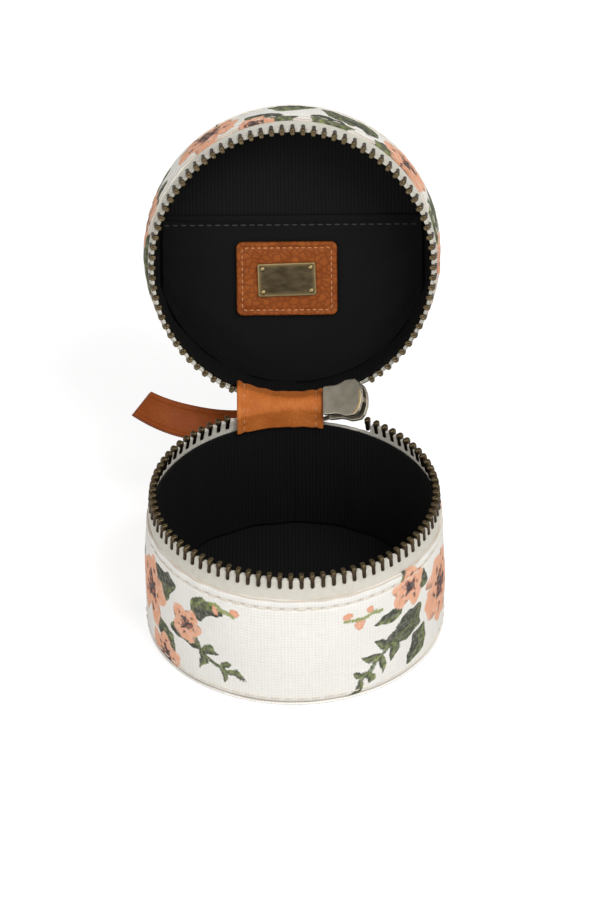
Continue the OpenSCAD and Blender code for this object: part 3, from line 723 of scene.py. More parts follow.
def zipper_tape(name, node_name, angle, body, side, seed):
    """Closed section of the tape carried round: faces at half a thickness from its middle line and a
    rounded cord at its edge, which is fuller and reaches further between teeth, by 0.5 - 0.5
    cos(places angle).  Where x lies within the slider's length the edge drops to the notch's depth, by
    3 s^2 - 2 s^3."""
    turn = np.linspace(-np.pi, np.pi, 721)[None, :]
    across = turn * RIM_R / mm
    x = np.where(np.cos(turn) < 0, np.sin(turn) * RIM_R, -1.0)
    drop = np.clip((x - slider_low[0] + 0.6 * mm) / (0.5 * mm), 0, 1)
    drop = drop * np.clip((slider_high[0] + 0.8 * mm - x) / (1.2 * mm), 0, 1)
    first = row_ends(node_name.replace("tape", "teeth"), angle)[0]
    between = 0.5 - 0.5 * np.cos((np.pi - turn - first) * TOOTH_PLACES)
    edge = TAPE_EDGE + SCALLOP * (1 - between)
    edge = edge + (drop * drop * (3 - 2 * drop)) * (NOTCH - edge)
    share = np.linspace(1, 0, 26)[:, None]
    bottom = BAND_H + TUCK
    down = edge + (bottom - edge) * share
    wave = 0.10 * mm * drift(across, 0 * share + seed, 15.0, seed) * np.clip(1 - down / BAND_H, 0, 1)
    middle = band_radius(down) + wave
    cord = (0.06 + 0.10 * between) * mm * soft_line(down - edge - 0.3 * mm, 0.9 * mm)
    outside = middle + TAPE_T / 2 + cord - 0.04 * mm
    inside = middle - TAPE_T / 2 - cord + 0.04 * mm
    roll = np.linspace(0, np.pi, 7)[1:-1, None]
    rolled = (outside[-1:] + inside[-1:]) / 2 + (outside[-1:] - inside[-1:]) / 2 * np.cos(roll)
    rolled_down = edge + 0.25 * mm * (1 - np.sin(roll))
    rows_r = np.concatenate([outside, rolled, inside[::-1]])
    rows_d = np.concatenate([down, rolled_down, down[::-1]])
    length = np.concatenate([bottom - down, bottom - edge + 0.4 * mm * roll,
                             bottom - down[::-1] + 1.2 * mm])
    uv = grid(across, length / mm)
    uv = np.concatenate([uv, uv[:1]])
    points = around(turn[:, :-1], rows_r[:, :-1], PART_Z + side * rows_d[:, :-1])
    made = surface(name, turned(points, angle), uv, (True, True))[0]
    dress(made, tape, body, "tape", node_name)


zipper_tape("tape_base", "base_zipper_tape", 0.0, "base", -1, 51)
zipper_tape("tape_lid", "lid_zipper_tape", LID_OPEN, "lid", 1, 52)

# ---------------------------------------------------------------------------------------------
# Teeth.  Antique brass, one like the next: a knob with a dimple that meshes with the other row,
# and narrow legs on both faces of the tape, drawn as one bar that the tape runs through.
# ---------------------------------------------------------------------------------------------

PITCH = 2 * np.pi / TOOTH_PLACES


def tooth_row(name, node_name, angle, body, side):
    """Every tooth as eight-point rings from the dimple in its knob up to its legs' ends, narrower and
    wider by level, set on the slanted band."""
    #             depth, half width, half thickness, all in millimetres; the dimple comes first
    levels = np.array([[-0.26, 0.00, 0.00], [-0.30, 0.30, 0.36], [-0.50, 0.46, 0.62], [-0.28, 0.65, 0.92],
                       [0.30, 0.68, 1.02], [0.85, 0.66, 1.00], [1.20, 0.56, 0.92], [3.05, 0.54, 0.86],
                       [3.38, 0.42, 0.66], [3.46, 0.00, 0.00]]) * mm
    ring = np.linspace(0, 2 * np.pi, 8, endpoint=False) + np.pi / 8
    square = grid(np.cos(ring), np.sin(ring))
    square = np.sign(square) * abs(square) ** 0.7
    wide = levels[:, 1:2] * square[:, 0]
    thick = levels[:, 2:3] * square[:, 1]
    deep = levels[:, :1] + 0 * wide
    first, last = row_ends(node_name, angle)
    places = np.pi - np.arange(first, last + 0.3 * PITCH, PITCH)[:, None, None]
    radius = RIM_R + LEAN / BAND_H * deep + thick
    out = around(places, radius, PART_Z + side * deep)
    along = grid(np.cos(places), np.sin(places), 0)
    points = out + along * wide[..., None]
    made, used = surface(name, turned(points, angle), None, poles=(True, True))
    wear_and_highlight = soft_edge(np.clip(deep + 0.5 * mm, 0, 9 * mm), 0.9 * mm)
    wear_and_highlight = np.broadcast_to(wear_and_highlight, (len(places),) + deep.shape)
    mark(made, "wear_and_highlight", wear_and_highlight.reshape(len(places), -1)[:, used].ravel())
    dress(made, brass, body, "brass", node_name)


brass, tree, shader = finish("antique_brass", 0.42, Metallic=1.0)
patches = noise(tree, own_place(tree), 900.0, 3.0)
shine = ramp(tree, stored(tree, "wear_and_highlight"), 0.75, sums(tree, "MULTIPLY_ADD", patches, 1.1, -0.55))
coat(tree, shader, mixed(tree, shine, linear(0.215, 0.17, 0.135), linear(0.45, 0.395, 0.29)),
     rough=sums(tree, "MULTIPLY_ADD", shine, -0.15, 0.52))
tooth_row("teeth_base", "base_zipper_teeth", 0.0, "base", -1)
tooth_row("teeth_lid", "lid_zipper_teeth", LID_OPEN, "lid", 1)

# ---------------------------------------------------------------------------------------------
# Leather hinge.  One soft piece of tan leather sewn to both tapes: a flap down each wall and a
# bend over the hinge line, with a stitched, puckered seam along each side edge.
# ---------------------------------------------------------------------------------------------

leather_low, leather_high = closed_box("hinge_leather", 0.0)
HINGE_LEFT, HINGE_RIGHT = leather_low[0], leather_high[0] + 0.4 * mm
LEATHER_R = INNER_R - 1.95 * mm
LEATHER_T = 1.0 * mm
FLAP_LOW, BEND_LENGTH, FLAP_HIGH = 5.1 * mm, 4.0 * mm, 5.3 * mm
BEND_REACH = 0.38


def hinge_sheet(share, length, lift):
    """A point of the hinge: share from its left to its right edge, length from the base flap's foot to
    the lid flap's end, lift off its back.  Flaps lie on the wall's circle; between them the distance
    from the hinge line shrinks towards a share, BEND_REACH, in the middle of the bend."""
    x = HINGE_LEFT + (HINGE_RIGHT - HINGE_LEFT) * share
    reach = HINGE_Y - np.sqrt((LEATHER_R - lift) ** 2 - x ** 2)
    base_part = np.clip(length, 0, FLAP_LOW)
    bend = np.clip((length - FLAP_LOW) / BEND_LENGTH, 0, 1)
    lid_part = np.clip(length - FLAP_LOW - BEND_LENGTH, 0, FLAP_HIGH)
    near = HINGE_Y - LEATHER_R + lift
    tight = near + BEND_REACH * (reach - near)
    pull = abs(2 * bend - 1) ** 1.5
    reach = np.where((bend > 0) & (bend < 1), tight + (reach - tight) * pull, reach)
    turn = bend * LID_OPEN
    rise = np.where(bend > 0, lid_part, base_part - FLAP_LOW)
    y, z = -reach * np.cos(turn), reach * np.sin(turn)
    y, z = y + rise * np.sin(turn), z + rise * np.cos(turn)
    return grid(x, HINGE_Y + y, PART_Z + z)


def edge_roll(inside):
    """How far a rolled edge falls, in millimetres: a quarter circle over the last half millimetre."""
    return 0.45 * (1 - np.sqrt(np.clip(1 - (1 - np.clip(inside / 0.5, 0, 1)) ** 2, 0, 1)))


def sheet(name, front, back, across, down, angle):
    """A sheet of thick cloth or leather from the points of its two faces, closed round its sides, with
    its cloth coordinates in millimetres."""
    uv = grid(across, down)
    uv = np.concatenate([uv, uv[:, ::-1], uv[:, :1]], 1)
    return surface(name, turned(np.concatenate([front, back[:, ::-1]], 1), angle), uv)[0]


HINGE_W = HINGE_RIGHT - HINGE_LEFT
SIDE_SEAM, PUCKER = 1.9 * mm, 2.3 * mm
rows = np.linspace(0, FLAP_LOW + BEND_LENGTH + FLAP_HIGH, 76)[:, None]
face = np.linspace(0, 1, 65)[None, :]
in_side = np.minimum(face, 1 - face) * HINGE_W / mm
beat = 0.5 + 0.5 * np.cos(2 * np.pi * rows / PUCKER)
groove = -0.22 * soft_line(in_side - SIDE_SEAM / mm, 0.5) * (0.55 + 0.45 * beat)
swell = 0.14 * soft_line(in_side - 0.8, 0.6)
crease = 0.10 * drift(face * 22, rows / mm * 0.35, 5.5, 61) * np.clip(in_side / 2, 0, 1)
rolled = np.maximum(edge_roll(in_side), edge_roll(np.minimum(rows, rows[-1] - rows) / mm))
front = hinge_sheet(face, rows, LEATHER_T + (groove + swell + crease - rolled) * mm)
hinge = sheet("leather_hinge", front, hinge_sheet(face, rows, rolled * mm), face * 22, rows / mm, 0.0)


def leather(name, pale, mid, dark, grain, relief, streak=(1.0, 1.0, 1.0)):
    """Leather: small cells with creases between them, as deep as the relief, streaks of fine wrinkles,
    and slow changes of colour."""
    material, tree, shader = finish(name, 0.52, Specular_IOR_Level=0.12)
    here = own_place(tree)
    bent = bent_by_noise(tree, here, 700.0, 0.4 * mm)
    cells = node(tree, "TexVoronoi", {"Vector": bent, "Scale": grain}, feature="DISTANCE_TO_EDGE")
    cells = ramp(tree, cells.outputs["Distance"], 5.0)
    wrinkle = noise(tree, stretched(tree, here, *streak), 900.0, 4.0)
    colour = mixed(tree, ramp(tree, noise(tree, here, 190.0, 5.0), 2.2, -0.65), mid, pale)
    colour = mixed(tree, ramp(tree, wrinkle, 1.6, -0.60), colour, mid)
    colour = mixed(tree, ramp(tree, cells, -relief, relief), colour, dark)
    coat(tree, shader, colour, sums(tree, "MULTIPLY_ADD", cells, relief, wrinkle), 0.10 * mm,
         sums(tree, "MULTIPLY_ADD", wrinkle, 0.2, 0.42))
    return material


tan = leather("tan_leather", linear(0.79, 0.47, 0.23), linear(0.70, 0.38, 0.16),
              linear(0.48, 0.23, 0.09), 900.0, 0.18, (3.0, 0.5, 0.5))
dress(hinge, tan, None, "hinge_leather", "hinge_leather")
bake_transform(hinge)

# ---------------------------------------------------------------------------------------------
# Pocket.  A panel of black cloth across the lower part of the lid's top, its mouth hemmed and
# stitched, standing a little off the lining in the middle.
# ---------------------------------------------------------------------------------------------

pocket_low, pocket_high = closed_box("lid_pocket")
POCKET_R, MOUTH_Y, POCKET_T = pocket_high[0], pocket_low[1], 0.72 * mm
MOUTH_SEAM, POCKET_BOW = 2.5 * mm, 0.35 * mm


def pocket_point(x, share, lift):
    """A point of the pocket: x across, share from its mouth to its round foot, lift off the lid's top.
    The cloth bows out between mouth and foot."""
    foot = np.sqrt(np.clip(POCKET_R ** 2 - x ** 2, 0, None))
    y = MOUTH_Y + (foot - MOUTH_Y) * share
    bow = POCKET_BOW * np.sin(np.pi * np.clip(share, 0, 1)) * np.cos(np.pi / 2 * x / POCKET_R)
    return grid(x, y, pocket_high[2] - lift - bow)


half = math.sqrt(POCKET_R ** 2 - MOUTH_Y ** 2) - 0.3 * mm
x = np.linspace(-half, half, 121)[None, :]
share = np.linspace(0, 1, 90)[:, None]
down = share * (POCKET_R - MOUTH_Y) / mm
hem = 0.32 * np.exp(-((down - 1.1) / 0.9) ** 4)
seam = -0.14 * soft_line(down - MOUTH_SEAM / mm, 0.3)
wrinkle = 0.10 * drift(x / mm, down * 0.6, 9.0, 71)
wrinkle = wrinkle * np.clip(down / 3, 0, 1) * np.clip(8 * (1 - share), 0, 1)
front = pocket_point(x, share, POCKET_T + (hem + seam + wrinkle) * mm)
pocket = sheet("cloth_pocket", front, pocket_point(x, share, 0.0), x / mm, down, LID_OPEN)
plain_black, tree, shader = finish("black_cloth", 0.86, Specular_IOR_Level=0.2)
cloth = cloth_place(tree)
weave = woven(tree, cloth, 0.5)
lit = sums(tree, "MULTIPLY", weave, noise(tree, cloth, 1.4, 5.0), clamp=True)
colour = mixed(tree, lit, linear(0.018, 0.018, 0.019), linear(0.070, 0.069, 0.068))
coat(tree, shader, colour, weave, 0.05 * mm)
dress(pocket, plain_black, "lid", "lining", "lid_pocket", "pocket_hem")

# ---------------------------------------------------------------------------------------------
# Leather patch.  A tan rectangle with round corners and thick, slightly rolled edges, stitched
# round its border on to the pocket.
# ---------------------------------------------------------------------------------------------


def even(points, count):
    """The same closed outline with its points evenly spaced."""
    ring = np.concatenate([points, points[:1]])
    run = np.concatenate([[0], np.cumsum(np.linalg.norm(np.diff(ring, axis=0), axis=-1))])
    places = np.linspace(0, run[-1], count, endpoint=False)
    return np.stack([np.interp(places, run, ring[:, k]) for k in range(2)], -1)


def rounded(width, height, corner, count, fine=400):
    """Outline of a rectangle with round corners: a small circle of fine points, its quarters moved to
    the corners, then spaced evenly."""
    turn = np.linspace(0, 2 * np.pi, fine, endpoint=False) + 1e-3
    out = grid(np.cos(turn), np.sin(turn))
    return even(np.sign(out) * (np.array([width, height]) / 2 - corner) + corner * out, count)


def slab(outline, thick, edge, rings):
    """Rows of a flat slab from the middle of its back to the middle of its front.  Its edge is rounded
    by the sine and cosine of an angle, and its faces are rings that shrink towards the middle."""
    ahead = np.roll(outline, -1, axis=0) - np.roll(outline, 1, axis=0)
    out = grid(ahead[:, 1], -ahead[:, 0]) / np.linalg.norm(ahead, axis=-1)[:, None]
    if np.einsum("ij,ij->", out, outline - outline.mean(0)) < 0:
        out = -out
    middle = outline.mean(0)
    inner = outline - edge * out
    shrink = np.linspace(0, 1, rings)[:, None, None]
    face = middle + (inner - middle) * shrink
    roll = np.linspace(-np.pi / 2, np.pi / 2, 9)[1:-1, None, None]
    side = inner + edge * out * np.cos(roll)
    flat = np.concatenate([face, side, face[::-1]])
    half = min(edge, thick / 2)
    rise = np.concatenate([np.zeros(rings), thick / 2 + (thick / 2 - half) * np.sign(roll[:, 0, 0])
                           + half * np.sin(roll[:, 0, 0]), np.full(rings, thick)])
    return flat, rise[:, None] + 0 * flat[..., 0]


def lump(name, points):
    """A closed shape whose first and last row are each one point."""
    return surface(name, points, None, poles=(True, True))[0]


def plaque(node_name, corner, edge, count, rings, fine):
    """A CAD rectangle on the lid, as a slab with round corners: its lowest corner, its size, the places
    and rises of its points, and their distances from its sides in millimetres."""
    low, high = closed_box(node_name)
    size = high - low
    flat, rise = slab(rounded(size[0], size[1], corner, count, fine), size[2], edge, rings)
    inset = np.min(size[:2] / 2 - abs(flat), -1) / mm
    return low, size, flat, rise, inset


patch_low, patch_size, flat, rise, inset = plaque("leather_patch", 1.6 * mm, 0.45 * mm, 260, 34, 400)
PATCH_MID, SEAM_IN = patch_low + patch_size / 2, 1.5 * mm
groove = -0.16 * soft_line(inset - SEAM_IN / mm, 0.42) + 0.08 * soft_line(inset - 0.6, 0.4)
crumple = 0.07 * drift(flat[..., 0] / mm, flat[..., 1] / mm, 6.0, 81)
rise = rise + (groove + crumple) * mm * (rise > patch_size[2] * 0.9)
points = grid(PATCH_MID[0] + flat[..., 0], PATCH_MID[1] + flat[..., 1], patch_low[2] + patch_size[2] - rise)
patch = lump("leather_patch_stitched", turned(points, LID_OPEN))
grained = leather("grained_leather", linear(0.63, 0.35, 0.15), linear(0.54, 0.27, 0.10),
                  linear(0.34, 0.15, 0.05), 560.0, 0.5)
dress(patch, grained, "lid", "patch_leather", "leather_patch")

# ---------------------------------------------------------------------------------------------
# Brass plate.  A thin antique plate with softened edges, bare, held by four small domed pins.
# ---------------------------------------------------------------------------------------------

PLATE_TILT = math.radians(-1.6)
plate_low, plate_size, flat, rise, inset = plaque("brass_plate", 0.5 * mm, 0.22 * mm, 160, 20, 200)
PLATE_MID = plate_low + plate_size / 2
# Brighter brass round the plate's edges: partly wear, partly a painted highlight.
edge_wear_and_highlight = soft_edge(inset, 0.35) * (rise > plate_size[2] * 0.3)
dish = -0.05 * (1 - soft_edge(inset, 0.5)) * (rise > plate_size[2] * 0.9) * mm
cosine, sine = math.cos(PLATE_TILT), math.sin(PLATE_TILT)
tilt = np.array([[cosine, sine], [-sine, cosine]])
flat = PLATE_MID[:2] + flat @ tilt
points = grid(flat[..., 0], flat[..., 1], plate_low[2] + plate_size[2] - rise - dish)
plate, used = surface("brass_plate_bare", turned(points, LID_OPEN), None, poles=(True, True))
mark(plate, "wear_and_highlight", edge_wear_and_highlight.ravel()[used])
aged, tree, shader = finish("aged_plate", 0.38, Metallic=1.0)
here = own_place(tree)
stain = noise(tree, stretched(tree, here, 1.0, 2.2, 2.2), 330.0, 5.0)
brushed = noise(tree, stretched(tree, here, 0.12, 3.0, 3.0), 2500.0, 2.0)
colour = mixed(tree, ramp(tree, stain, 2.0, -0.6), linear(0.26, 0.22, 0.16), linear(0.42, 0.37, 0.28))
# Pale brass on the plate's edges, partly wear and partly a painted highlight, and on the pins.
colour = mixed(tree, sums(tree, "MULTIPLY", stored(tree, "wear_and_highlight"), 0.85), colour, linear(0.80, 0.71, 0.50))
coat(tree, shader, colour, brushed, 0.02 * mm, sums(tree, "MULTIPLY_ADD", stain, 0.3, 0.28))
dress(plate, aged, "lid", "brass", "brass_plate")

PIN_R, SHANK_R, PIN_INSET = 0.72 * mm, 0.42 * mm, 1.3 * mm
DOME_H, SHANK_L = 0.42 * mm, 1.4 * mm
quarter = np.linspace(0, np.pi / 2, 6)
turn = np.linspace(0, 2 * np.pi, 14, endpoint=False)
dome_r = np.concatenate([PIN_R * np.sin(quarter), [SHANK_R, SHANK_R, 0.0]])[:, None]
dome_h = np.concatenate([DOME_H * np.cos(quarter), [0.0, -SHANK_L, -SHANK_L]])[:, None]
corners = np.array([[-1, -1], [-1, 1], [1, -1], [1, 1]]) * (plate_size[:2] / 2 - PIN_INSET)
pin_x, pin_y = (PLATE_MID[:2] + corners @ tilt).T[..., None, None]
points = grid(pin_x + dome_r * np.cos(turn), pin_y + dome_r * np.sin(turn), plate_low[2] - dome_h)
pins = lump("brass_pins", turned(points, LID_OPEN))
mark(pins, "wear_and_highlight", np.full(len(pins.data.vertices), 0.6))
dress(pins, aged, "lid", "brass", "plate_pins")

# ---------------------------------------------------------------------------------------------
# Slider.  Cast metal with a dark nickel finish: two curved plates that widen towards the mouth,
# with a thin post between them.  Its arch and its link keep their CAD meshes.
# ---------------------------------------------------------------------------------------------

points = closed_points("slider_body", LID_OPEN / 2)
radii, places = np.hypot(points[:, 0], points[:, 1]), np.arctan2(points[:, 0], points[:, 1])
PLATE_IN, PLATE_OUT = radii.min(), radii.max()
SLIDER_AZ = (places.min() + places.max()) / 2
SLIDER_L, MOUTH, TAIL = 11 * mm, 5.0 * mm, 3.9 * mm
CASTING = 1.1 * mm


def parked(points):
    """Points made at the back of the closed case, moved to where the slider is parked."""
    cosine, sine = math.cos(SLIDER_AZ), math.sin(SLIDER_AZ)
    x, y = points[..., 0], points[..., 1]
    return turned(grid(cosine * x + sine * y, cosine * y - sine * x, points[..., 2] + PART_Z), LID_OPEN / 2)


# One side of the plates' outline, from the tail to the middle of the mouth.  The other mirrors it.
half = SLIDER_L / 2
shape = np.array([[-half, -TAIL + 0.4 * mm], [-half + 0.4 * mm, -TAIL], [-1.9 * mm, -TAIL - 0.05 * mm],
                  [-0.6 * mm, -TAIL - 0.45 * mm], [0.5 * mm, -MOUTH + 0.1 * mm], [1.6 * mm, -MOUTH],
                  [half - 2.0 * mm, -MOUTH + 0.1 * mm], [half - 0.9 * mm, -MOUTH + 1.2 * mm],
                  [half - 0.15 * mm, -1.7 * mm], [half, 0]])
shape = np.concatenate([shape, shape[-2::-1] * [1, -1]])
outline = even(shape, 150)
outline = (np.roll(outline, 1, 0) + np.roll(outline, -1, 0) + 2 * outline) / 4
flat, rise = slab(outline, CASTING, 0.32 * mm, 10)


def curved_plate(inner_r, rise):
    """A slab bent to a circle about the case's middle: it rises out from inner_r."""
    turn = flat[..., 0] / (inner_r + CASTING / 2)
    return grid((inner_r + rise) * np.sin(turn), (inner_r + rise) * np.cos(turn), flat[..., 1])


pair = np.stack([curved_plate(PLATE_IN, CASTING - rise), curved_plate(PLATE_OUT - CASTING, rise)])
plates, used = surface("slider_plates", parked(pair), None, poles=(True, True))
# A painted highlight, a thin line of pale brass along the lower part of the mouth: inset is the share of
# the way out to the outline.
turn = np.arctan2(outline[:, 1], outline[:, 0])
order = np.argsort(turn)
reach = np.linalg.norm(outline, axis=-1)
out = np.interp(np.arctan2(flat[..., 1], flat[..., 0]), turn[order], reach[order])
inset = np.where(rise > CASTING * 0.5, np.linalg.norm(flat, axis=-1) / out, 0)
mouth_highlight = soft_line(inset - 0.94, 0.025) * np.clip((flat[..., 0] - 2.6 * mm) / mm, 0, 1)
mark(plates, "wear_and_highlight", np.tile((mouth_highlight * (flat[..., 1] < 1.5 * mm)).ravel()[used], 2))
nickel, tree, shader = finish("dark_nickel", 0.36, Metallic=1.0)
here = own_place(tree)
cast, grit = noise(tree, here, 420.0, 4.0), noise(tree, here, 3200.0, 3.0)
colour = mixed(tree, ramp(tree, cast, 1.6, -0.4), linear(0.57, 0.545, 0.49), linear(0.70, 0.665, 0.60))
# The painted highlight on the slider's mouth, in pale brass.
colour = mixed(tree, stored(tree, "wear_and_highlight"), colour, linear(0.84, 0.73, 0.49))
coat(tree, shader, colour, grit, 0.015 * mm, sums(tree, "MULTIPLY_ADD", grit, 0.25, 0.30))
dress(plates, nickel, "slider", "gunmetal", "slider_body")

# The post between the plates is a thin web, so that the drawn teeth pass on both sides of it.
POST_SLOPE = math.tan(math.radians(7.2))
POST_T, POST_H, POST_SUNK = 0.10 * mm, 1.4 * mm, 0.1 * mm
section = rounded(POST_T, POST_H, 0.045 * mm, 24, 60)
levels = np.linspace(PLATE_IN + CASTING - POST_SUNK, PLATE_OUT - CASTING + POST_SUNK, 4)[:, None]
levels = np.concatenate([levels[:1], levels, levels[-1:]])
width = np.array([0, 1, 1, 1, 1, 0])[:, None]
points = grid(POST_SLOPE * levels + section[:, 0] * width, levels, section[:, 1] * width)
post = lump("slider_post", parked(points))
dress(post, nickel, "slider", "gunmetal")
repaint(nickel, "slider_bridge", "pull_link")

# ---------------------------------------------------------------------------------------------
# Leather pull.  A brown strap folded round the link's bar, grooved along its sides where its two
# layers are sewn, and cut at a slant at its free end.  It curves round behind the case.
# ---------------------------------------------------------------------------------------------

bar = turned(np.array(JOINTS["strap_swing"]["pos_m"]), -LID_OPEN / 2)
PULL_T, PULL_HALF, NECK_HALF = 1.9 * mm, 4.5 * mm, 1.85 * mm
# The strap leaves the bar, swings out behind the hinge and curves round to the left of the case.
stations = np.array([[bar[0] - 1.4 * mm, bar[1] + 0.9 * mm, 0], [-7 * mm, WALL_R + 13.8 * mm, -1.5 * mm],
                     [11 * mm - WALL_R, WALL_R + 13.8 * mm, -3 * mm],
                     [-3.5 * mm - WALL_R, WALL_R + 4.3 * mm, 4.3 * mm]])


def along_strap(t):
    """A cubic curve through the strap's places: (1-t)^3 a + 3 (1-t)^2 t b + 3 (1-t) t^2 c + t^3 d."""
    t = np.asarray(t)[..., None]
    return ((1 - t) ** 3 * stations[0] + 3 * (1 - t) ** 2 * t * stations[1]
            + 3 * (1 - t) * t * t * stations[2] + t ** 3 * stations[3])


section = rounded(2 * PULL_HALF, PULL_T, 0.5 * mm, 96, 240)
up, thick = section[:, 0] / PULL_HALF, section[:, 1]
even_t = np.linspace(0, 1, 110)[:, None]
# The slanted cut: the strap's upper edge ends this share of its length before the lower one.
SLANT = 0.10
t = even_t - SLANT * even_t ** 8 * (1 + up) / 2
ahead = along_strap(t + 0.01) - along_strap(t - 0.01)
side = grid(-ahead[..., 1], ahead[..., 0], 0)
side = side / np.linalg.norm(side, axis=-1)[..., None]
half = NECK_HALF + (PULL_HALF - NECK_HALF) * np.clip(t / 0.16, 0, 1) ** 0.8
inset = (1 - abs(up)) * half / mm
groove = 1 - 0.20 * soft_line(inset - 1.3, 0.35)
bow = 0.15 * mm * drift(t * 30, up[None, :] * 2, 9.0, 91)
points = along_strap(t) + side * (thick * groove + bow)[..., None] + grid(0, 0, half * up + PART_Z)
ends = points[[0, -1]].mean(1, keepdims=True) + 0 * points[[0, -1]]
points = np.concatenate([ends[:1], points, ends[1:]])
pull = lump("leather_pull_strap", turned(points, LID_OPEN / 2))
brown = leather("brown_leather", linear(0.55, 0.28, 0.10), linear(0.49, 0.23, 0.07),
                linear(0.37, 0.16, 0.05), 900.0, 0.12, (0.5, 0.5, 3.0))
dress(pull, brown, "pull", "pull_leather", "leather_pull")

# The fold round the bar is a tube.
FOLD_IN, FOLD_OUT = 0.72 * mm, 1.7 * mm
profile = np.array([[FOLD_IN, NECK_HALF], [FOLD_OUT, NECK_HALF],
                    [FOLD_OUT, -NECK_HALF], [FOLD_IN, -NECK_HALF]])
radius, height = even(profile, 40).T[..., None]
turn = np.linspace(0, 2 * np.pi, 33)[:-1]
loop = grid(bar[0] + radius * np.cos(turn), bar[1] + radius * np.sin(turn), PART_Z + height)
fold = surface("leather_pull_fold", turned(loop, LID_OPEN / 2), None, (True, True))[0]
dress(fold, brown, "pull", "pull_leather")

# ---------------------------------------------------------------------------------------------
# Stitches.  Each seam is a row of short, slightly bowed threads that lie in its groove: cream on
# the canvas, black on the pocket, tan on the leather.
# ---------------------------------------------------------------------------------------------


def stitches(name, places, along, up, length, thick):
    """A row of threads: each runs along its direction by length, bowed up by a cosine, with a round
    section that closes at both ends."""
    run = np.linspace(-1, 1, 7)[:, None]
    turn = np.linspace(0, 2 * np.pi, 6, endpoint=False)[None, :]
    body_r = thick / 2 * np.sqrt(np.clip(1 - run ** 6, 0, 1))
    lift = body_r * np.sin(turn) + 0.25 * thick * np.cos(run * np.pi / 2)
    points = places[:, None, None]
    for reach, direction in ((length / 2 * run + 0 * turn, along), (lift, up),
                             (body_r * np.cos(turn), np.cross(along, up))):
        points = points + reach[None, ..., None] * direction[:, None, None]
    return lump(name, points)


def thread(name, light, dark):
    """Twisted sewing thread: fine flecks of two close colours."""
    material, tree, shader = finish(name, 0.7, Sheen_Weight=0.2)
    ply = noise(tree, own_place(tree), 2600.0, 2.0)
    coat(tree, shader, mixed(tree, ply, dark, light), ply, 0.04 * mm)
    return material


def unit(directions):
    """Directions scaled to a length of one."""
    return directions / np.linalg.norm(directions, axis=-1)[:, None]


def headed(directions, angle):
    """Directions turned about the hinge line, from closed towards open."""
    return turned(directions, angle) - turned(np.zeros(3), angle)


cream_thread = thread("cream_thread", linear(0.93, 0.90, 0.84), linear(0.80, 0.75, 0.66))
black_thread = thread("black_thread", linear(0.22, 0.22, 0.22), linear(0.08, 0.08, 0.08))
tan_thread = thread("tan_thread", linear(0.86, 0.60, 0.38), linear(0.66, 0.40, 0.20))
FINE_THREAD, HEAVY_THREAD = 0.30 * mm, 0.34 * mm
for name, height, angle, body, radius in (
        ("stitches_base_hem", WALL_HIGH - HEM_H - FOLD_H, 0.0, "base", WALL_R - 0.42 * mm),
        ("stitches_base_foot", WALL_LOW + 1.6 * mm, 0.0, "base", WALL_R + 0.05 * mm),
        ("stitches_lid_hem", lid_low[2] + HEM_H + FOLD_H, LID_OPEN, "lid", WALL_R - 0.33 * mm),
        ("stitches_lid_foot", lid_high[2] - 1.6 * mm, LID_OPEN, "lid", WALL_R + 0.05 * mm)):
    count = round(2 * np.pi * WALL_R / STITCH_PITCH)
    turn = np.linspace(-np.pi, np.pi, count, endpoint=False) + np.pi / count
    out, along = around(turn, 1.0, 0.0), grid(np.cos(turn), np.sin(turn), 0)
    seam = stitches(name, turned(out * radius + np.array([0, 0, height]), angle), headed(along, angle),
                    headed(out, angle), 2.6 * mm, FINE_THREAD)
    dress(seam, cream_thread, body, "canvas")


def flat_stitches(name, xs, ys, along, height, length, material, slot):
    """Stitches on a flat piece of the lid, given in the closed case's plane."""
    up = np.broadcast_to([0.0, 0.0, -1.0], along.shape)
    seam = stitches(name, turned(grid(xs, ys, height), LID_OPEN), headed(along, LID_OPEN),
                    headed(up, LID_OPEN), length, HEAVY_THREAD)
    dress(seam, material, "lid", slot)


xs = np.arange(-math.sqrt(POCKET_R ** 2 - MOUTH_Y ** 2) + 1.5 * mm, 33 * mm, 2.2 * mm)
bow = POCKET_BOW * np.sin(np.pi * MOUTH_SEAM / (POCKET_R - MOUTH_Y)) * np.cos(np.pi / 2 * xs / POCKET_R)
flat_stitches("stitches_pocket", xs, MOUTH_Y + MOUTH_SEAM, grid(1.0 + 0 * xs, 0, 0),
              pocket_high[2] - POCKET_T - bow, 1.5 * mm, black_thread, "lining")

border = rounded(patch_size[0] - 2 * SEAM_IN, patch_size[1] - 2 * SEAM_IN, 0.8 * mm, 48)
ahead = unit(np.roll(border, -1, 0) - np.roll(border, 1, 0))
flat_stitches("stitches_patch", PATCH_MID[0] + border[:, 0], PATCH_MID[1] + border[:, 1],
              grid(ahead[:, 0], ahead[:, 1], 0), patch_low[2] + 0.10 * mm, 1.15 * mm, tan_thread,
              "patch_leather")

# Side seams of the hinge, laid along its leather's bend.
STEP, SEAM_LIFT = 0.3 * mm, LEATHER_T - 0.16 * mm
for number, share in enumerate((SIDE_SEAM / HINGE_W, 1 - SIDE_SEAM / HINGE_W)):
    lengths = np.arange(1.2 * mm, FLAP_LOW + BEND_LENGTH + FLAP_HIGH - 1 * mm, PUCKER)
    places = hinge_sheet(share, lengths, SEAM_LIFT)
    before, after = (hinge_sheet(share, lengths + step, SEAM_LIFT) for step in (-STEP, STEP))
    along, up = unit(after - before), unit(hinge_sheet(share, lengths, SEAM_LIFT + STEP) - places)
    seam = stitches(f"stitches_hinge_{number}", places, along, up, 1.5 * mm, FINE_THREAD)
    dress(seam, tan_thread, None, "hinge_leather")
    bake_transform(seam)

# ---------------------------------------------------------------------------------------------
# Floor, light and camera.  A white floor that keeps the case's soft shadow, a large lamp high on
# the right with a weaker one on the left, and a long lens from the front, 36 degrees up.
# ---------------------------------------------------------------------------------------------


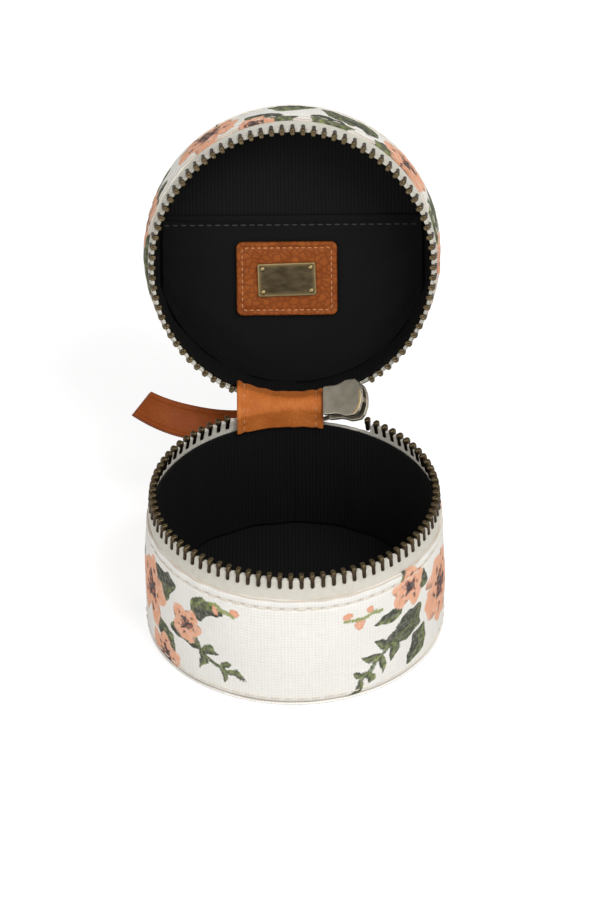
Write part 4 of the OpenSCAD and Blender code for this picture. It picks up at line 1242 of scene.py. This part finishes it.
def seen_by(tree, *kinds):
    """1 for light rays of the kinds named, 0 for the others."""
    path = node(tree, "LightPath")
    seen = path.outputs[f"Is {kinds[0]} Ray"]
    for kind in kinds[1:]:
        seen = sums(tree, "MAXIMUM", seen, path.outputs[f"Is {kind} Ray"])
    return seen


# The floor is lit by the lamps and glows a little more for the camera, which makes it white.
FLOOR_HALF, FLOOR_GREY, FLOOR_GLOW = 3.0, 0.55, 0.62
SKY_LIGHT, SKY_SHOWN = 0.55, 1.0
floor_mesh = bpy.data.meshes.new("floor")
corners = [(x * FLOOR_HALF, y * FLOOR_HALF, 0) for x, y in ((-1, -1), (1, -1), (1, 1), (-1, 1))]
floor_mesh.from_pydata(corners, [], [(0, 1, 2, 3)])
white, tree, shader = finish("white_floor", 0.9)
tree.nodes.remove(shader)
glow = sums(tree, "MULTIPLY", seen_by(tree, "Camera", "Glossy", "Transmission"), FLOOR_GLOW)
glow = node(tree, "Emission", {"Color": (1.0, 1.0, 1.0, 1.0), "Strength": glow})
matte = node(tree, "BsdfDiffuse", {"Color": (FLOOR_GREY,) * 3 + (1.0,)})
both = node(tree, "AddShader", {0: matte.outputs[0], 1: glow.outputs[0]})
tree.links.new(both.outputs[0], tree.nodes["Material Output"].inputs["Surface"])
floor_mesh.materials.append(white)
stand("floor", floor_mesh)

world = bpy.data.worlds.new("studio")
world.use_nodes = True
bpy.context.scene.world = world
tree = world.node_tree
shown = seen_by(tree, "Camera", "Transmission")
strength = node(tree, "Mix", {0: shown, 2: SKY_LIGHT, 3: SKY_SHOWN}).outputs[0]
tree.links.new(strength, tree.nodes["Background"].inputs["Strength"])
tree.nodes["Background"].inputs["Color"].default_value = (1.0, 1.0, 1.0, 1.0)


def facing(made, aim):
    """Turn that points a lamp or a camera at a point."""
    return (made.location - type(made.location)(aim)).to_track_quat("Z", "Y")


for name, place, size, watts in (("soft_box_right", (0.50, -0.55, 0.95), 0.6, 8.4),
                                 ("soft_box_left", (-0.6, -0.9, 0.5), 0.8, 3.9)):
    light = bpy.data.lights.new(name, "AREA")
    light.size = size
    light.energy = watts
    lamp = stand(name, light)
    lamp.location = place
    lamp.rotation_euler = facing(lamp, (0, 0.01, 0.04)).to_euler()

ELEVATION, ROLL = math.radians(36.07), math.radians(-0.476)
LOOK_AT = (1.516 * mm, 0.0, 52.21 * mm)
DISTANCE = 2.111
camera_data = bpy.data.cameras.new("camera")
camera_data.lens = 334.1
camera_data.sensor_width = 36
camera_data.clip_end = 20
camera = stand("camera", camera_data)
camera.location = (LOOK_AT[0], -DISTANCE * math.cos(ELEVATION), LOOK_AT[2] + DISTANCE * math.sin(ELEVATION))
camera.rotation_mode = "QUATERNION"
camera.rotation_quaternion = facing(camera, LOOK_AT)
camera.rotation_mode = "XYZ"
camera.rotation_euler.rotate_axis("Z", ROLL)
bpy.context.scene.camera = camera
bpy.context.scene.view_settings.view_transform = "Standard"
